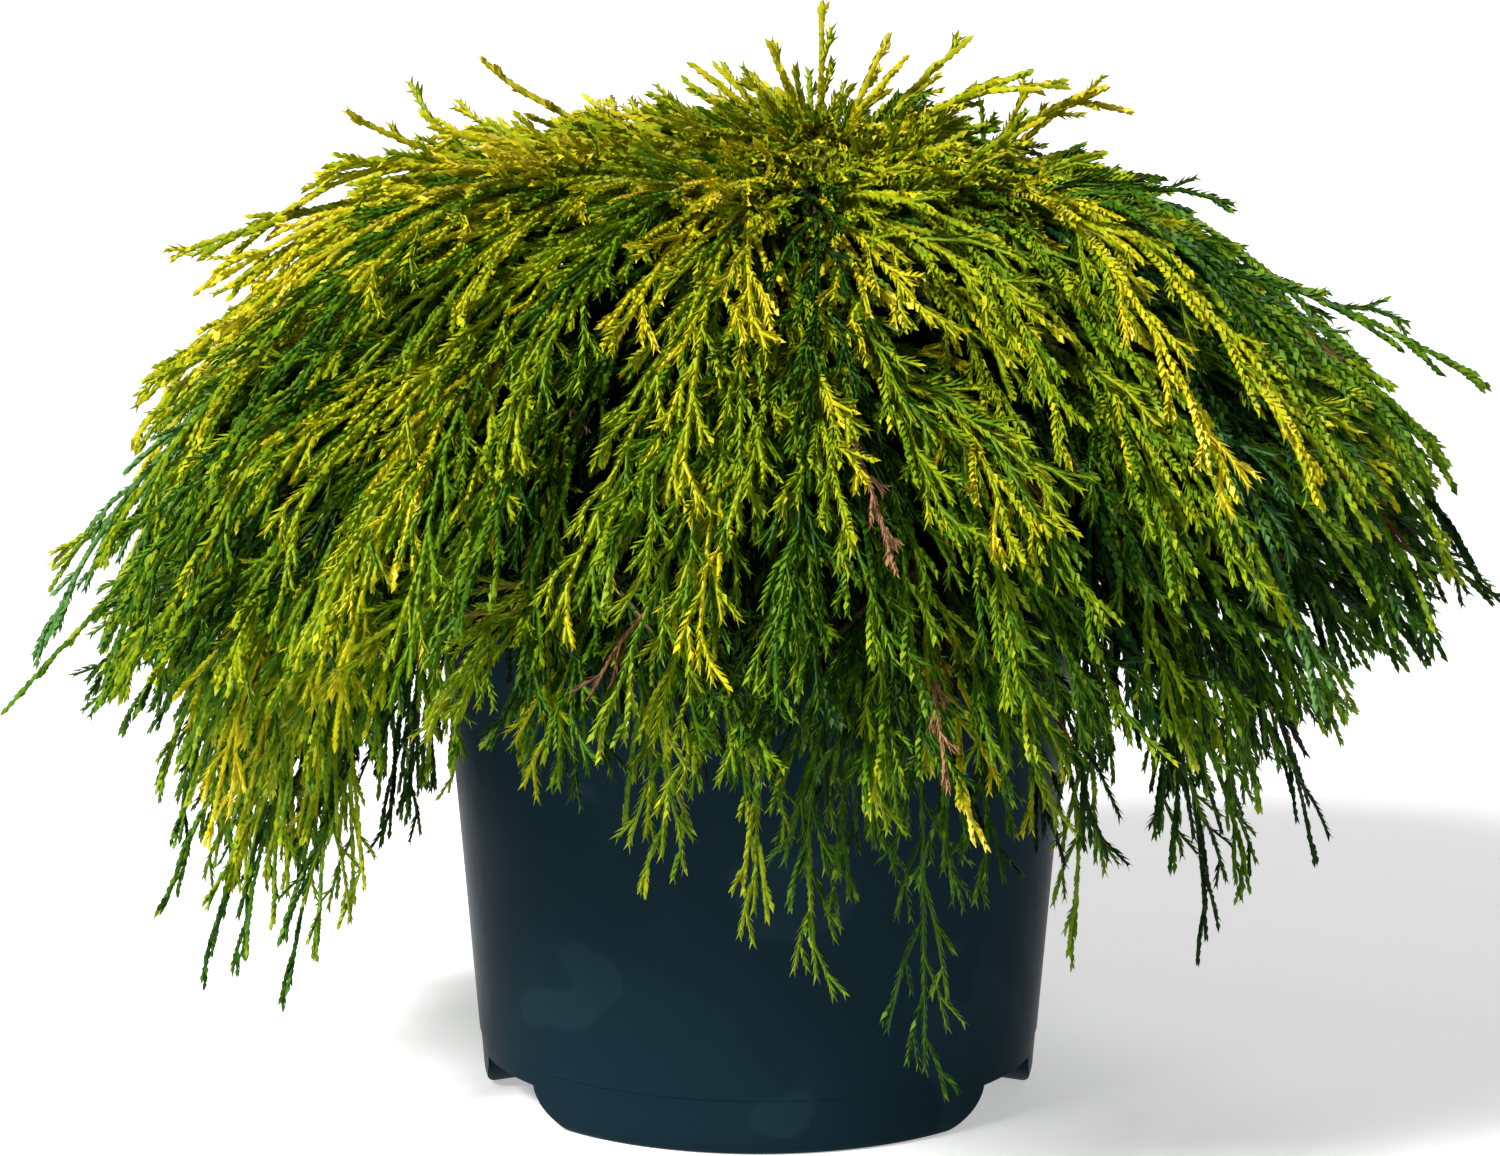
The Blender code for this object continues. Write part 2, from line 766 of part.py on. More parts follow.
def make_mass(space, stem, limbs, collection, seed):
    """A mass of weeping shoots from one stem, spread evenly over its share of the outline."""
    chance = random.Random(seed)
    tier = TIERS[space["tier"]]
    stem_radii = [tier["bough_radius"][1], STEM_RADIUS, STEM_TIP_RADIUS]
    pieces = [tube_mesh("stem", stem, stem_radii, BOUGH_SIDES)]

    def grow(tip, launch, droop):
        return grow_shoot(space, stem, tip, launch, droop, limbs, pieces, chance)

    def grow_far(tip):
        """A far tip hangs at the end of an even arc."""
        reach = tip - stem[-1]
        slope = math.degrees(math.atan2(reach.z, math.hypot(reach.x, reach.y)))
        return grow(tip, slope + FAR_BEND, max(slope - FAR_BEND, STEEPEST))

    far_tips = reaching_tips(space)
    for count, inset, drop in tier["layers"]:
        spread = [(2 * number + 1) / count - 1.0 for number in range(count)]
        slots = [space["angle"] + space["half_angle"] * side for side in spread]
        far_tip_of = nearest_slots(space, far_tips, slots)
        far_tips = []
        for number, slot in enumerate(slots):
            share = (number * GOLDEN + 0.5 * drop + chance.uniform(0.0, SHARE_JITTER)) % 1.0
            launch = mix(*tier["launch"], share) - drop
            droop = mix(*tier["droop"], share)
            if number in far_tip_of and grow_far(far_tip_of[number]):
                continue
            for attempt in range(TRIES):
                jitter = chance.uniform(-SLOT_JITTER, SLOT_JITTER)
                angle = slot + jitter * space["half_angle"] / count
                shortest, longest = tier["reach"]
                reach = max(shortest, mix(shortest, longest, share) - attempt * SHORTER)
                inwards = inset + chance.uniform(0.0, TIP_JITTER)
                tip = on_the_outline(space["centre"], angle, reach, inwards)
                if grow(tip, launch, droop):
                    break
    return fused(space["name"], pieces, collection, FOLIAGE[space["tier"]])


def nearest_slots(space, tips, slots):
    """Which far tip each slot takes over, by the angle it stands at."""
    taken = {}
    for tip in tips:
        offset = tip - space["centre"]
        angle = math.degrees(math.atan2(offset.x, -offset.y))
        away = [abs((slot - angle + 180.0) % 360.0 - 180.0) for slot in slots]
        order = sorted(range(len(slots)), key=away.__getitem__)
        free = [number for number in order if number not in taken]
        if free:
            taken[free[0]] = tip
    return taken


def main():
    clear_scene()
    plant = new_collection(COLLECTION_NAME)
    helpers = new_collection("Helpers")
    make_pot(plant, helpers)
    make_soil(plant, helpers)
    sleeve, trunk_limb = make_trunk(plant, helpers)

    limbs = [trunk_limb]
    spaces = []
    for tier_name, tier in TIERS.items():
        count = tier["count"]
        for number in range(count):
            angle = tier["turn"] + 360.0 * number / count
            foot_height = mix(*tier["bough_foot"], foot_share(number, count))
            name = f"bough_{tier_name}_{number + 1:02d}"
            limb = make_bough(name, tier, foot_height, angle, plant, sleeve)
            limbs.append(limb)
            centre = trunk_point(mix(*tier["bough_foot"], 0.5))
            space = {
                "tier": tier_name,
                "name": f"foliage_{tier_name}_{number + 1:02d}",
                "centre": Vector((centre.x, centre.y, 0.0)),
                "angle": angle,
                "half_angle": 180.0 / count,
            }
            spaces.append((space, limb))

    make_tuft(limbs, plant)
    for space, (points, radii) in spaces:
        stem = make_stem(points[-1], points[-2], STEM_LENGTH)
        for growth in range(TRIES):
            if make_mass(space, stem, limbs, plant, f"{SEED} {space['name']} {growth}"):
                break


main()
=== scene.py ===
"""Looks for the potted threadleaf sawara cypress: the pot, the compost, the barked limbs and the
weeping threads that take the place of the plain masses of foliage.

Metres, +Z up, -Y is the front. Angles round the plant are in degrees: 0 points at the front and
90 to the right, along +X.
"""

import math
import random

import bmesh
import bpy
import numpy as np
from mathutils import Euler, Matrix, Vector, noise


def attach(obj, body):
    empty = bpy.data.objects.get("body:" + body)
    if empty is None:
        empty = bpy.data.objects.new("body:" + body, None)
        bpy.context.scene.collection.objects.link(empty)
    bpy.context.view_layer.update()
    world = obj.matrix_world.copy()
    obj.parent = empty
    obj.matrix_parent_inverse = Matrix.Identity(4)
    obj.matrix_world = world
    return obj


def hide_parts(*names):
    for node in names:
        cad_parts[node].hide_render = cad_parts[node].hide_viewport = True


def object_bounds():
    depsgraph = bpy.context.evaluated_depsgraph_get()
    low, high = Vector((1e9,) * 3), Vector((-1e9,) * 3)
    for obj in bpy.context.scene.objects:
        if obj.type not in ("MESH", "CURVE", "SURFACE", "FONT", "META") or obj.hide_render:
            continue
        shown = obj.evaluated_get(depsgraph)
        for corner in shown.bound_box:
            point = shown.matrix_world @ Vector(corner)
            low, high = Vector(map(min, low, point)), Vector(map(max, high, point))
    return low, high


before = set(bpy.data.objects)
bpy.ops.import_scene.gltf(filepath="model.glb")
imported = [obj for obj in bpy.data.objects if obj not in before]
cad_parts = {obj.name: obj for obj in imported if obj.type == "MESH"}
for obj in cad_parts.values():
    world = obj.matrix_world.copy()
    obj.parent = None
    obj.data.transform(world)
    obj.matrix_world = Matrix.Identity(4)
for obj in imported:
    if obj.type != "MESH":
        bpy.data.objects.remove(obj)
CAD_LOW, CAD_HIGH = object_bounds()

SEED = 77
UP = Vector((0.0, 0.0, 1.0))

# The picture: where the camera stands, what it looks at and how long its lens is
CAMERA_PLACE = (-0.00304, -1.4, 0.4229)
CAMERA_TARGET = (-0.00304, 0.0, 0.18295)
CAMERA_LENS = 95.42
CAMERA_SENSOR = 36.0

# The pot, as its own profile
POT_HEIGHT = 0.19
POT_BASE_RADIUS = 0.0996
POT_TOP_RADIUS = 0.115
POT_WALL = 0.0018
POT_FLOOR = 0.0022
POT_STEPS = 144
WALL_SINK = 0.0006
RIM_HEIGHT = 0.008
RIM_OVERHANG = 0.003
RIM_ROUND = 0.0012
FOOT_ROUND_HEIGHT = 0.009
FOOT_ROUND_INSET = 0.004
FOOT_ROUND_STEPS = 8
MOULD_LINE_HEIGHT = 0.02
MOULD_LINE_STEP = 0.0004
NOTCH_ANGLES = (-63.0, 63.0, 180.0)
NOTCH_HEIGHT = 0.014
NOTCH_ROOF_HALF_WIDTH = 0.0196
NOTCH_FOOT_HALF_WIDTH = 0.0343
NOTCH_BACK_RADIUS = 0.08
NOTCH_FRONT_RADIUS = 0.112
NOTCH_SIDE_STEPS = 8
POT_SHARP_ANGLE = 38.0
SOIL_TOP = 0.1715
SOIL_DOME = 0.0015
SOIL_FOOT = 0.03
SOIL_RINGS = 36
SOIL_STEPS = 96
SOIL_ROUGHNESS = 0.0011
SOIL_LUMPS_PER_M = 170.0
SOIL_FRACTAL = (1.0, 2.0, 4)
SOIL_CHIPS = 360
SOIL_CHIP_SIZE = (0.002, 0.006)
SOIL_CHIP_WIDTH = (0.3, 0.7)
SOIL_CHIP_THICKNESS = 0.22
SOIL_CHIP_TILT = 0.4
SOIL_CHIP_LIFT = 0.0005
SOIL_CHIP_REACH = 0.96

# The trunk and the boughs
GAP = 0.0003
TRUNK_FOOT = SOIL_TOP + SOIL_DOME + GAP
TRUNK_TOP = 0.318
TRUNK_LEAN = 0.021
TRUNK_LEAN_POWER = 1.3
TRUNK_SWAY = 0.003
TRUNK_RADIUS = 0.0068
TRUNK_TIP_RADIUS = 0.003
FLARE_RADIUS = 0.004
FLARE_HEIGHT = 0.008
BOUGH_ARCH = 0.02
STEM_LENGTH = 0.034
STEM_TIP = 0.0012
BOUGH_STATIONS = 12
STEM_STATIONS = 4
TRUNK_STATIONS = 40
TRUNK_STATION_POWER = 1.2
TRUNK_SIDES = 20
BOUGH_SIDES = 8
BARK_RELIEF = 0.16
BARK_RIDGES = 2.2
RIDGE_GAIN = 2.0
RIDGE_SINK = 0.5
BARK_TURNS_PER_M = 60.0

# The crown's outline, as the radius reached at each height
CROWN_OUTLINE = {
    "apex": (0.0, 0.366), "crown": (0.14, 0.34), "shoulder": (0.187, 0.3),
    "flank": (0.232, 0.25), "waist": (0.25, 0.2), "skirt": (0.252, 0.156),
    "hem": (0.222, 0.124), "fringe": (0.206, 0.088), "lowest": (0.184, 0.045),
}
LEVEL_HEIGHT = 0.196
RIGHT_DROP = 0.11
RIGHT_DROP_HEIGHTS = (0.18, 0.3)
APEX_DROP = 0.015
FLANK_SHIFT = ((0.185, 0.0), (0.215, 0.012), (0.25, 0.012), (0.29, 0.0))

# How steeply a shoot's tip points, by how far along the outline from the apex it ends
TIP_SLOPES = (
    (0.0, 50.0), (0.05, 32.0), (0.1, 14.0), (0.15, -8.0), (0.2, -30.0),
    (0.25, -46.0), (0.3, -57.0), (0.36, -66.0), (0.42, -74.0), (0.5, -83.0),
)

# The ragged hem, as the height that the shoots hang down to at each angle round the plant
HEM = (
    (-180.0, 0.062), (-120.0, 0.058), (-82.0, 0.062), (-64.0, 0.084), (-50.0, 0.134),
    (-32.0, 0.158), (-18.0, 0.14), (-6.0, 0.1), (8.0, 0.098), (16.0, 0.1),
    (26.0, 0.118), (38.0, 0.104), (50.0, 0.102), (64.0, 0.116), (84.0, 0.124),
    (120.0, 0.086), (180.0, 0.062),
)
HEM_TOP = 0.2

# How thick the lower tier is at each angle round the plant
HEM_DENSITY = (
    (-180.0, 1.0), (-128.0, 1.2), (-91.0, 1.7), (-55.0, 1.5), (-19.0, 1.05),
    (17.0, 1.1), (53.0, 0.95), (89.0, 0.8), (125.0, 0.9), (180.0, 1.0),
)

# Each tier's boughs, and how its shoots set out and spread. A layer is how many shoots a mass has
# in it, how far inside the outline they end, how much steeper they hang and how much darker they
# are: painted shade, deeper for the layers that end further inside the crown
TIERS = {
    "upper": {
        "count": 6,
        "turn": -4.0,
        "bough_foot": (0.268, 0.302),
        "bough_tip": (0.046, 0.314),
        "bough_radius": (0.0024, 0.0019),
        "layers": (
            (16, 0.0, 0.0, 0.0), (14, 0.007, 6.0, 1.0), (11, 0.018, 12.0, 2.6),
            (8, 0.034, 20.0, 4.2), (8, 0.062, 30.0, 6.0), (13, 0.11, 40.0, 6.5),
        ),
        "reach": (0.085, 0.33),
        "launch": 26.0,
        "roots": 0.3,
    },
    "middle": {
        "count": 8,
        "turn": 4.0,
        "bough_foot": (0.228, 0.264),
        "bough_tip": (0.104, 0.278),
        "bough_radius": (0.0028, 0.0022),
        "layers": (
            (12, 0.0, 0.0, 0.0), (10, 0.01, 8.0, 1.2), (7, 0.027, 14.0, 3.2),
            (6, 0.06, 20.0, 5.6), (9, 0.095, 26.0, 6.5),
        ),
        "reach": (0.265, 0.42),
        "launch": 6.0,
        "roots": 0.45,
    },
    "lower": {
        "count": 10,
        "turn": 17.0,
        "bough_foot": (0.181, 0.222),
        "bough_tip": (0.14, 0.214),
        "bough_radius": (0.0029, 0.0022),
        "layers": (
            (9, 0.0, 0.0, 0.0), (6, 0.014, 6.0, 1.0), (4, 0.03, 10.0, 2.4),
            (3, 0.052, 14.0, 3.6),
        ),
        "reach": (0.375, 0.495),
        "launch": -8.0,
        "roots": 0.5,
    },
}
TUFT_SHOOTS = 70
TUFT_REACH = 0.128
TUFT_ROOT = (-0.006, 0.016)
TUFT_ARCH = 26.0
TUFT_TURN_JITTER = 12.0
TUFT_DEPTH_JITTER = (-0.3, 1.0)
LEAST_ARCH = 16.0
LEADER_ARCH = 4.0
TURNS = (0.25, 0.92)
FAR_BEND = 15.0
STEEPEST = -86.0
SWAY = 0.16
SLOT_JITTER = 0.9
TIP_JITTER = 0.014
LEAST_RADIUS = 0.03
NORMAL_STEP = 0.02
SHARE_JITTER = 0.3
DROOP_JITTER = 5.0
LAYER_SHIFT = 0.5
GOLDEN = 0.618034
POT_CLEAR = 0.003

# The tips that stand out of the crown's outline or hang lowest, as x, y, z
REACHING_TIPS = {
    "leader": (0.022, 0.0, 0.385), "right leader": (0.045, 0.006, 0.374),
    "left leader": (0.004, -0.008, 0.372), "far leader": (0.073, -0.006, 0.374),
    "arching spray": (0.118, 0.0, 0.35), "low arching spray": (0.098, -0.006, 0.356),
    "left crown": (-0.097, 0.012, 0.366), "left middle crown": (-0.122, 0.0, 0.359),
    "left shoulder": (-0.142, -0.02, 0.35), "far left shoulder": (-0.205, 0.02, 0.298),
    "right shoulder": (0.255, -0.015, 0.254), "left flank": (-0.256, 0.03, 0.182),
    "right flank": (0.264, 0.01, 0.172), "furthest left": (-0.259, -0.06, 0.147),
    "lowest": (0.053, -0.17, 0.052), "front left": (-0.16, -0.085, 0.058),
    "left hem": (-0.195, -0.04, 0.054), "right hem": (0.153, -0.08, 0.072),
    "back hem": (-0.06, 0.185, 0.06), "back right hem": (0.13, 0.15, 0.055),
    "long front": (0.062, -0.212, 0.148), "front centre": (0.018, -0.176, 0.084),
    "front right": (0.104, -0.128, 0.086), "left hem outside": (-0.209, -0.04, 0.073),
    "left hem middle": (-0.178, -0.07, 0.064), "left hem inside": (-0.138, -0.082, 0.086),
    "left hem high": (-0.206, -0.02, 0.092), "left hem low": (-0.186, -0.052, 0.082),
    "left hem front": (-0.166, -0.078, 0.088), "left hem near": (-0.15, -0.088, 0.074),
    "left hem far": (-0.172, 0.03, 0.078), "left hem deep": (-0.196, 0.012, 0.084),
    "right hem inside": (0.172, -0.045, 0.08), "right hem outside": (0.199, 0.0, 0.088),
}

# The tips of the slim dead shoots
DEAD_TIPS = {
    "dead centre": (0.04, -0.243, 0.226),
    "dead low": (0.056, -0.24, 0.16),
}
DEAD_GIRTH = 0.68

# How steeply some shoots set out and end, in degrees
TIP_BENDS = {
    "arching spray": (50.0, -26.0),
    "low arching spray": (52.0, -12.0),
    "left crown": (8.0, 46.0),
    "left middle crown": (14.0, 52.0),
    "left shoulder": (10.0, 40.0),
}
SLIM_TIPS = (
    "leader", "right leader", "left leader", "far leader",
    "left crown", "left middle crown", "left shoulder", "furthest left",
)
SLIM_BUSH = 0.36
DEEP_LAYER = 5.5
DEEP_BUSH = 1.35
GOLD_TIPS = ("long front", "arching spray")
UPPER_FLOOR = (0.312, 0.062, 0.245)
MIDDLE_FLOOR = (0.256, 0.106, 0.26)
TUFT_CONE_FOOT = TRUNK_TOP - 0.006
TUFT_CONE_SLOPE = 0.4

# The side twigs that fill a shoot, and the twigs on those. Each grows alternately left and right
SIDE_TWIGS = {
    "spacing": 0.0125, "from": 0.1, "to": 0.97, "angle": (17.0, 34.0),
    "roll": 30.0, "length": (0.009, 0.044), "forward": 0.55, "fall": 0.34,
    "lift": 8.0, "swell": 0.75, "tint_spread": 0.55, "tint_gain": 0.7,
    "dead": 0.005,
}
FINE_TWIGS = {
    "spacing": 0.013, "from": 0.2, "to": 0.92, "angle": (26.0, 40.0),
    "roll": 22.0, "length": (0.005, 0.013), "forward": 0.4, "fall": 0.1,
    "lift": 5.0, "swell": 0.9, "tint_spread": 0.35, "tint_gain": 0.5,
    "dead": 0.0,
}
TWIG_LENGTH_JITTER = (0.4, 1.0)
LEAST_SWELL = 0.04
UPRIGHT_RADIUS = 0.15
UPRIGHT_LIFT = 0.5

# The cord and its pairs of scale leaves, on a shoot, a side twig and a fine twig: the cord's
# radius at its foot and tip and its number of lengths, then how far apart the pairs stand, a
# leaf's length, its half width and how far its tip stands off
CORDS = ((0.00105, 0.0008, 9), (0.00095, 0.0007, 2), (0.00082, 0.0006, 1))
CORD_SIDES = 3
WOOD_REACH = 0.45
WOOD_RADIUS = (0.0014, 0.0008)
WOOD_LENGTHS = 5
WOOD_SIDES = 4
LEAVES = (
    (0.0031, 0.0045, 0.00122, 0.0018),
    (0.0029, 0.0041, 0.00116, 0.0017),
    (0.0027, 0.0037, 0.00108, 0.00155),
)
LEAF_LEAN = 0.35
LEAF_SIZE_JITTER = (0.85, 1.15)
LEAF_STAND_JITTER = (0.7, 1.2)
LEAF_LOSS_AT_TIP = 0.12
LEAF_FOOT_BACK = 0.1
LEAF_FOOT_STAND = 0.3
LEAF_BROADEST = 0.3
LEAF_BROAD_STAND = 0.25
GIRTH_BY_HEIGHT = ((0.08, 0.76), (0.22, 1.0), (0.35, 1.15))
LEAFLESS_FOOT = 0.05
LENGTH_STEPS = 16
BOX_MARGIN = 0.008

# How a shoot's colour follows its place, with painted sun and shade in it, and how the leaves vary
# round it
GREEN, BLUE, DEAD = range(3)
# Lighter higher up: partly the golder colour of the upper growth, partly painted sun from above and
# painted shade under the crown at the hem
TINT_BY_HEIGHT = ((0.05, 3.1), (0.14, 4.1), (0.2, 5.6), (0.27, 6.9), (0.35, 7.0))
SHADE_BY_HEIGHT = ((0.09, 0.35), (0.2, 1.0))
# Painted shade on the side away from the key lamp: the tint falls by this much for each metre to the
# right
SHADE_TO_THE_RIGHT = 11.5
TINT_PATCH = 1.6
TINT_PATCHES_PER_M = 15.0
TINT_SPREAD = 0.95
TINT_MOST = 7.6
CORD_SHADE = 0.5
DEEP_SHADE = 1.6
TIP_GAIN = 0.8
TIP_GAIN_FROM = 0.6
LEAF_SPREAD = 0.5
BLUE_UNDER = 0.24
BLUE_CHANCE = 0.035
BLUE_FROM = 1.0
BLUE_STEP = 2.0
DEAD_FROM = 3.0
GOLD_GAIN = 3.6
GOLD_CHANCE = 0.55
LIT_GAIN = 0.6
LIT_PLACES = {
    "left hem": (-0.19, -0.03, 0.08, 0.085),
    "left flank": (-0.262, -0.02, 0.165, 0.07),
    "right flank": (0.266, 0.0, 0.175, 0.06),
    "right hem": (0.19, -0.02, 0.11, 0.1),
}
GOLD_PLACES = {
    "left hem": (-0.185, -0.08, 0.122, 0.042),
}

# The foliage's colours, from shade to sun, then those off that scale
RAMP = (
    (10, 26, 5), (19, 44, 7), (34, 70, 9), (58, 98, 12), (90, 126, 14),
    (126, 150, 16), (156, 168, 18), (184, 182, 22), (208, 194, 30), (222, 208, 74),
)
BLUE_GREENS = ((26, 62, 28), (46, 92, 42), (84, 128, 60))
DEAD_BROWNS = ((104, 68, 42), (158, 118, 84))

# The looks that have a grain, and its colours from its low places to its high ones
GRAINS = {
    "bark": {"roughness": 0.85, "scale": 420.0, "detail": 6.0, "relief": 0.0006},
    "green wood": {"roughness": 0.6, "scale": 160.0, "detail": 3.0, "relief": 0.0},
    "compost": {"roughness": 0.95, "scale": 260.0, "detail": 8.0, "relief": 0.0015},
}
GRAIN_COLOURS = {
    "bark": ((0.3, (52, 32, 24)), (0.55, (104, 70, 50)), (0.78, (140, 104, 78))),
    "green wood": ((0.35, (58, 66, 24)), (0.62, (112, 86, 44))),
    "compost": ((0.32, (24, 16, 12)), (0.55, (58, 42, 31)), (0.75, (92, 70, 52))),
}

# The pot's colours over its blotches: the plain wall, then a mark's sharp edge and its middle
POT_BLUES = (
    (0.0, (17, 34, 42)), (0.585, (18, 36, 44)), (0.6, (24, 42, 50)),
    (0.7, (21, 40, 48)), (1.0, (19, 37, 45)),
)

# The light, with each lamp's name, place, size and power. They all point at the plant's middle.
# The floor's glow grows over its reach from the plant
WHITE = (1.0, 1.0, 1.0, 1.0)
WORLD_STRENGTH = 0.04
BACKGROUND_STRENGTH = 0.97
GLOW_REACH = (1.2, 3.4)
FLOOR_GLOW = (0.44, 0.95)
PLANT_MIDDLE = (0.0, 0.0, 0.2)
LIGHTS = (
    ("key", (-1.4, -1.4, 1.9), 0.62, 113.0),
    ("fill", (1.6, -1.3, 0.8), 1.2, 3.0),
    ("rim", (0.6, 1.2, 1.5), 0.8, 8.0),
)

# The pale floor, which sweeps up behind the plant
STAGE_REACH = 8.0
SWEEP_FOOT = 2.2
SWEEP_RADIUS = 1.2
SWEEP_STEPS = 24


def linear(channel):
    """A screen value from 0 to 255 as light."""
    value = channel / 255.0
    return value / 12.92 if value <= 0.04045 else ((value + 0.055) / 1.055) ** 2.4


def linear_colour(colour):
    return tuple(linear(channel) for channel in colour) + (1.0,)


def mix(low, high, share):
    return low + (high - low) * share


def heading(angle):
    """The level direction at an angle round the plant."""
    turn = math.radians(angle)
    return Vector((math.sin(turn), -math.cos(turn), 0.0))


# Materials


def new_material(name, colour, *, roughness):
    made = bpy.data.materials.new(name)
    made.use_nodes = True
    shader = made.node_tree.nodes["Principled BSDF"]
    shader.inputs["Base Color"].default_value = linear_colour(colour)
    shader.inputs["Roughness"].default_value = roughness
    return made, shader


def add_node(tree, kind, inputs):
    """A node whose inputs are set to numbers or colours, or linked to other nodes' outputs."""
    node = tree.nodes.new(f"ShaderNode{kind}")
    for name, value in inputs.items():
        if isinstance(value, bpy.types.NodeSocket):
            tree.links.new(value, node.inputs[name])
        else:
            node.inputs[name].default_value = value
    return node


def add_noise(made, *, scale, detail):
    """The factor of a noise texture on the object's own coordinates."""
    place = add_node(made.node_tree, "TexCoord", {}).outputs["Object"]
    inputs = {"Vector": place, "Scale": scale, "Detail": detail}
    return add_node(made.node_tree, "TexNoise", inputs).outputs["Fac"]


def add_ramp(made, shader, factor, stops):
    """Colours a shader by a ramp over a factor. Each stop is a place and a screen colour."""
    ramp = add_node(made.node_tree, "ValToRGB", {"Fac": factor})
    elements = ramp.color_ramp.elements
    while len(elements) < len(stops):
        elements.new(0.5)
    for element, (place, colour) in zip(elements, stops):
        element.position = place
        element.color = linear_colour(colour)
    made.node_tree.links.new(ramp.outputs["Color"], shader.inputs["Base Color"])


def add_bump(made, shader, factor, *, distance, strength=1.0):
    inputs = {"Height": factor, "Distance": distance, "Strength": strength}
    bump = add_node(made.node_tree, "Bump", inputs)
    made.node_tree.links.new(bump.outputs["Normal"], shader.inputs["Normal"])


def foliage_materials():
    """One plain colour each: the ramp from shade to sun, the blue greens, then the dead browns."""
    made = []
    for number, colour in enumerate(RAMP + BLUE_GREENS + DEAD_BROWNS):
        look, shader = new_material(f"foliage {number:02d}", colour, roughness=0.5)
        shader.inputs["Specular IOR Level"].default_value = 0.15
        made.append(look)
    return made


def grained_material(name):
    """A look whose colour, and relief if it has one, follow a grain."""
    look = GRAINS[name]
    stops = GRAIN_COLOURS[name]
    made, shader = new_material(name, stops[1][1], roughness=look["roughness"])
    grain = add_noise(made, scale=look["scale"], detail=look["detail"])
    add_ramp(made, shader, grain, stops)
    if look["relief"]:
        add_bump(made, shader, grain, distance=look["relief"])
    return made


def pot_material():
    """Dark blue-green moulded plastic with a fine grain and faint dried-water blotches."""
    made, shader = new_material("pot plastic", (12, 30, 40), roughness=0.38)
    shader.inputs["IOR"].default_value = 1.05
    blotches = add_noise(made, scale=17.0, detail=2.0)
    add_ramp(made, shader, blotches, POT_BLUES)
    grain = add_noise(made, scale=900.0, detail=4.0)
    rough = add_node(made.node_tree, "MapRange", {"Value": grain, "To Min": 0.24, "To Max": 0.34})
    made.node_tree.links.new(rough.outputs["Result"], shader.inputs["Roughness"])
    add_bump(made, shader, grain, distance=0.00012, strength=0.5)
    return made


# Meshes


def linked(name, data):
    """A new object in the scene."""
    obj = bpy.data.objects.new(name, data)
    bpy.context.scene.collection.objects.link(obj)
    return obj


def piece(name, mesh, materials, replaced=()):
    """A visible piece of the plant, riding on its one body."""
    obj = linked(name, mesh)
    for look in materials:
        mesh.materials.append(look)
    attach(obj, "root")
    if replaced:
        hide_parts(*replaced)
    return obj


def mesh_from_arrays(name, points, triangles, slots=None):
    mesh = bpy.data.meshes.new(name)
    mesh.vertices.add(len(points))
    mesh.vertices.foreach_set("co", np.ascontiguousarray(points, np.float32).ravel())
    mesh.loops.add(triangles.size)
    mesh.loops.foreach_set("vertex_index", np.ascontiguousarray(triangles, np.int32).ravel())
    mesh.polygons.add(len(triangles))
    mesh.polygons.foreach_set("loop_start", np.arange(0, triangles.size, 3, dtype=np.int32))
    if slots is not None:
        mesh.polygons.foreach_set("material_index", np.ascontiguousarray(slots, np.int32))
    mesh.update(calc_edges=True)
    return mesh


def mesh_from_bmesh(name, bm):
    bmesh.ops.recalc_face_normals(bm, faces=bm.faces[:])
    mesh = bpy.data.meshes.new(name)
    bm.to_mesh(mesh)
    bm.free()
    return mesh


def skin(bm, rings, sides):
    """Faces from each ring of points to the next. A ring may be a single point."""
    for low, high in zip(rings, rings[1:]):
        for side in range(sides):
            after = (side + 1) % sides
            corners = [low[side % len(low)], low[after % len(low)]]
            corners += [high[after % len(high)], high[side % len(high)]]
            bm.faces.new(list(dict.fromkeys(corners)))


def turned_mesh(name, profile, steps):
    """A profile of (radius, height) points, turned round the Z axis. It starts and ends on it."""
    bm = bmesh.new()
    rings = []
    for radius, height in profile:
        if radius == 0.0:
            rings.append([bm.verts.new((0.0, 0.0, height))])
            continue
        ring = []
        for step in range(steps):
            turn = 2.0 * math.pi * step / steps
            ring.append(bm.verts.new((radius * math.cos(turn), radius * math.sin(turn), height)))
        rings.append(ring)
    skin(bm, rings, steps)
    return mesh_from_bmesh(name, bm)


# The pot and its compost


def pot_radius(height):
    return mix(POT_BASE_RADIUS, POT_TOP_RADIUS, height / POT_HEIGHT)


def pot_outer_profile(inset=0.0):
    """The wall's outer side from under the rim down to the underside's centre."""
    line = MOULD_LINE_HEIGHT
    profile = [
        (pot_radius(POT_HEIGHT - RIM_HEIGHT) - inset, POT_HEIGHT - RIM_HEIGHT),
        (pot_radius(line + MOULD_LINE_STEP) - inset, line + MOULD_LINE_STEP),
        (pot_radius(line) - MOULD_LINE_STEP - inset, line),
    ]
    for step in range(FOOT_ROUND_STEPS + 1):
        turn = 0.5 * math.pi * step / FOOT_ROUND_STEPS
        height = FOOT_ROUND_HEIGHT * (1.0 - math.sin(turn))
        fall = FOOT_ROUND_INSET * (1.0 - math.cos(turn))
        radius = pot_radius(FOOT_ROUND_HEIGHT) - MOULD_LINE_STEP - fall
        profile.append((radius - inset, max(height, inset)))
    profile.append((0.0, inset))
    return profile


def pot_inner_radius(height):
    """The inner side follows the wall, and the foot's rounding below it."""
    below = max(0.0, FOOT_ROUND_HEIGHT - height) / FOOT_ROUND_HEIGHT
    return pot_radius(height) - POT_WALL - FOOT_ROUND_INSET * below**2


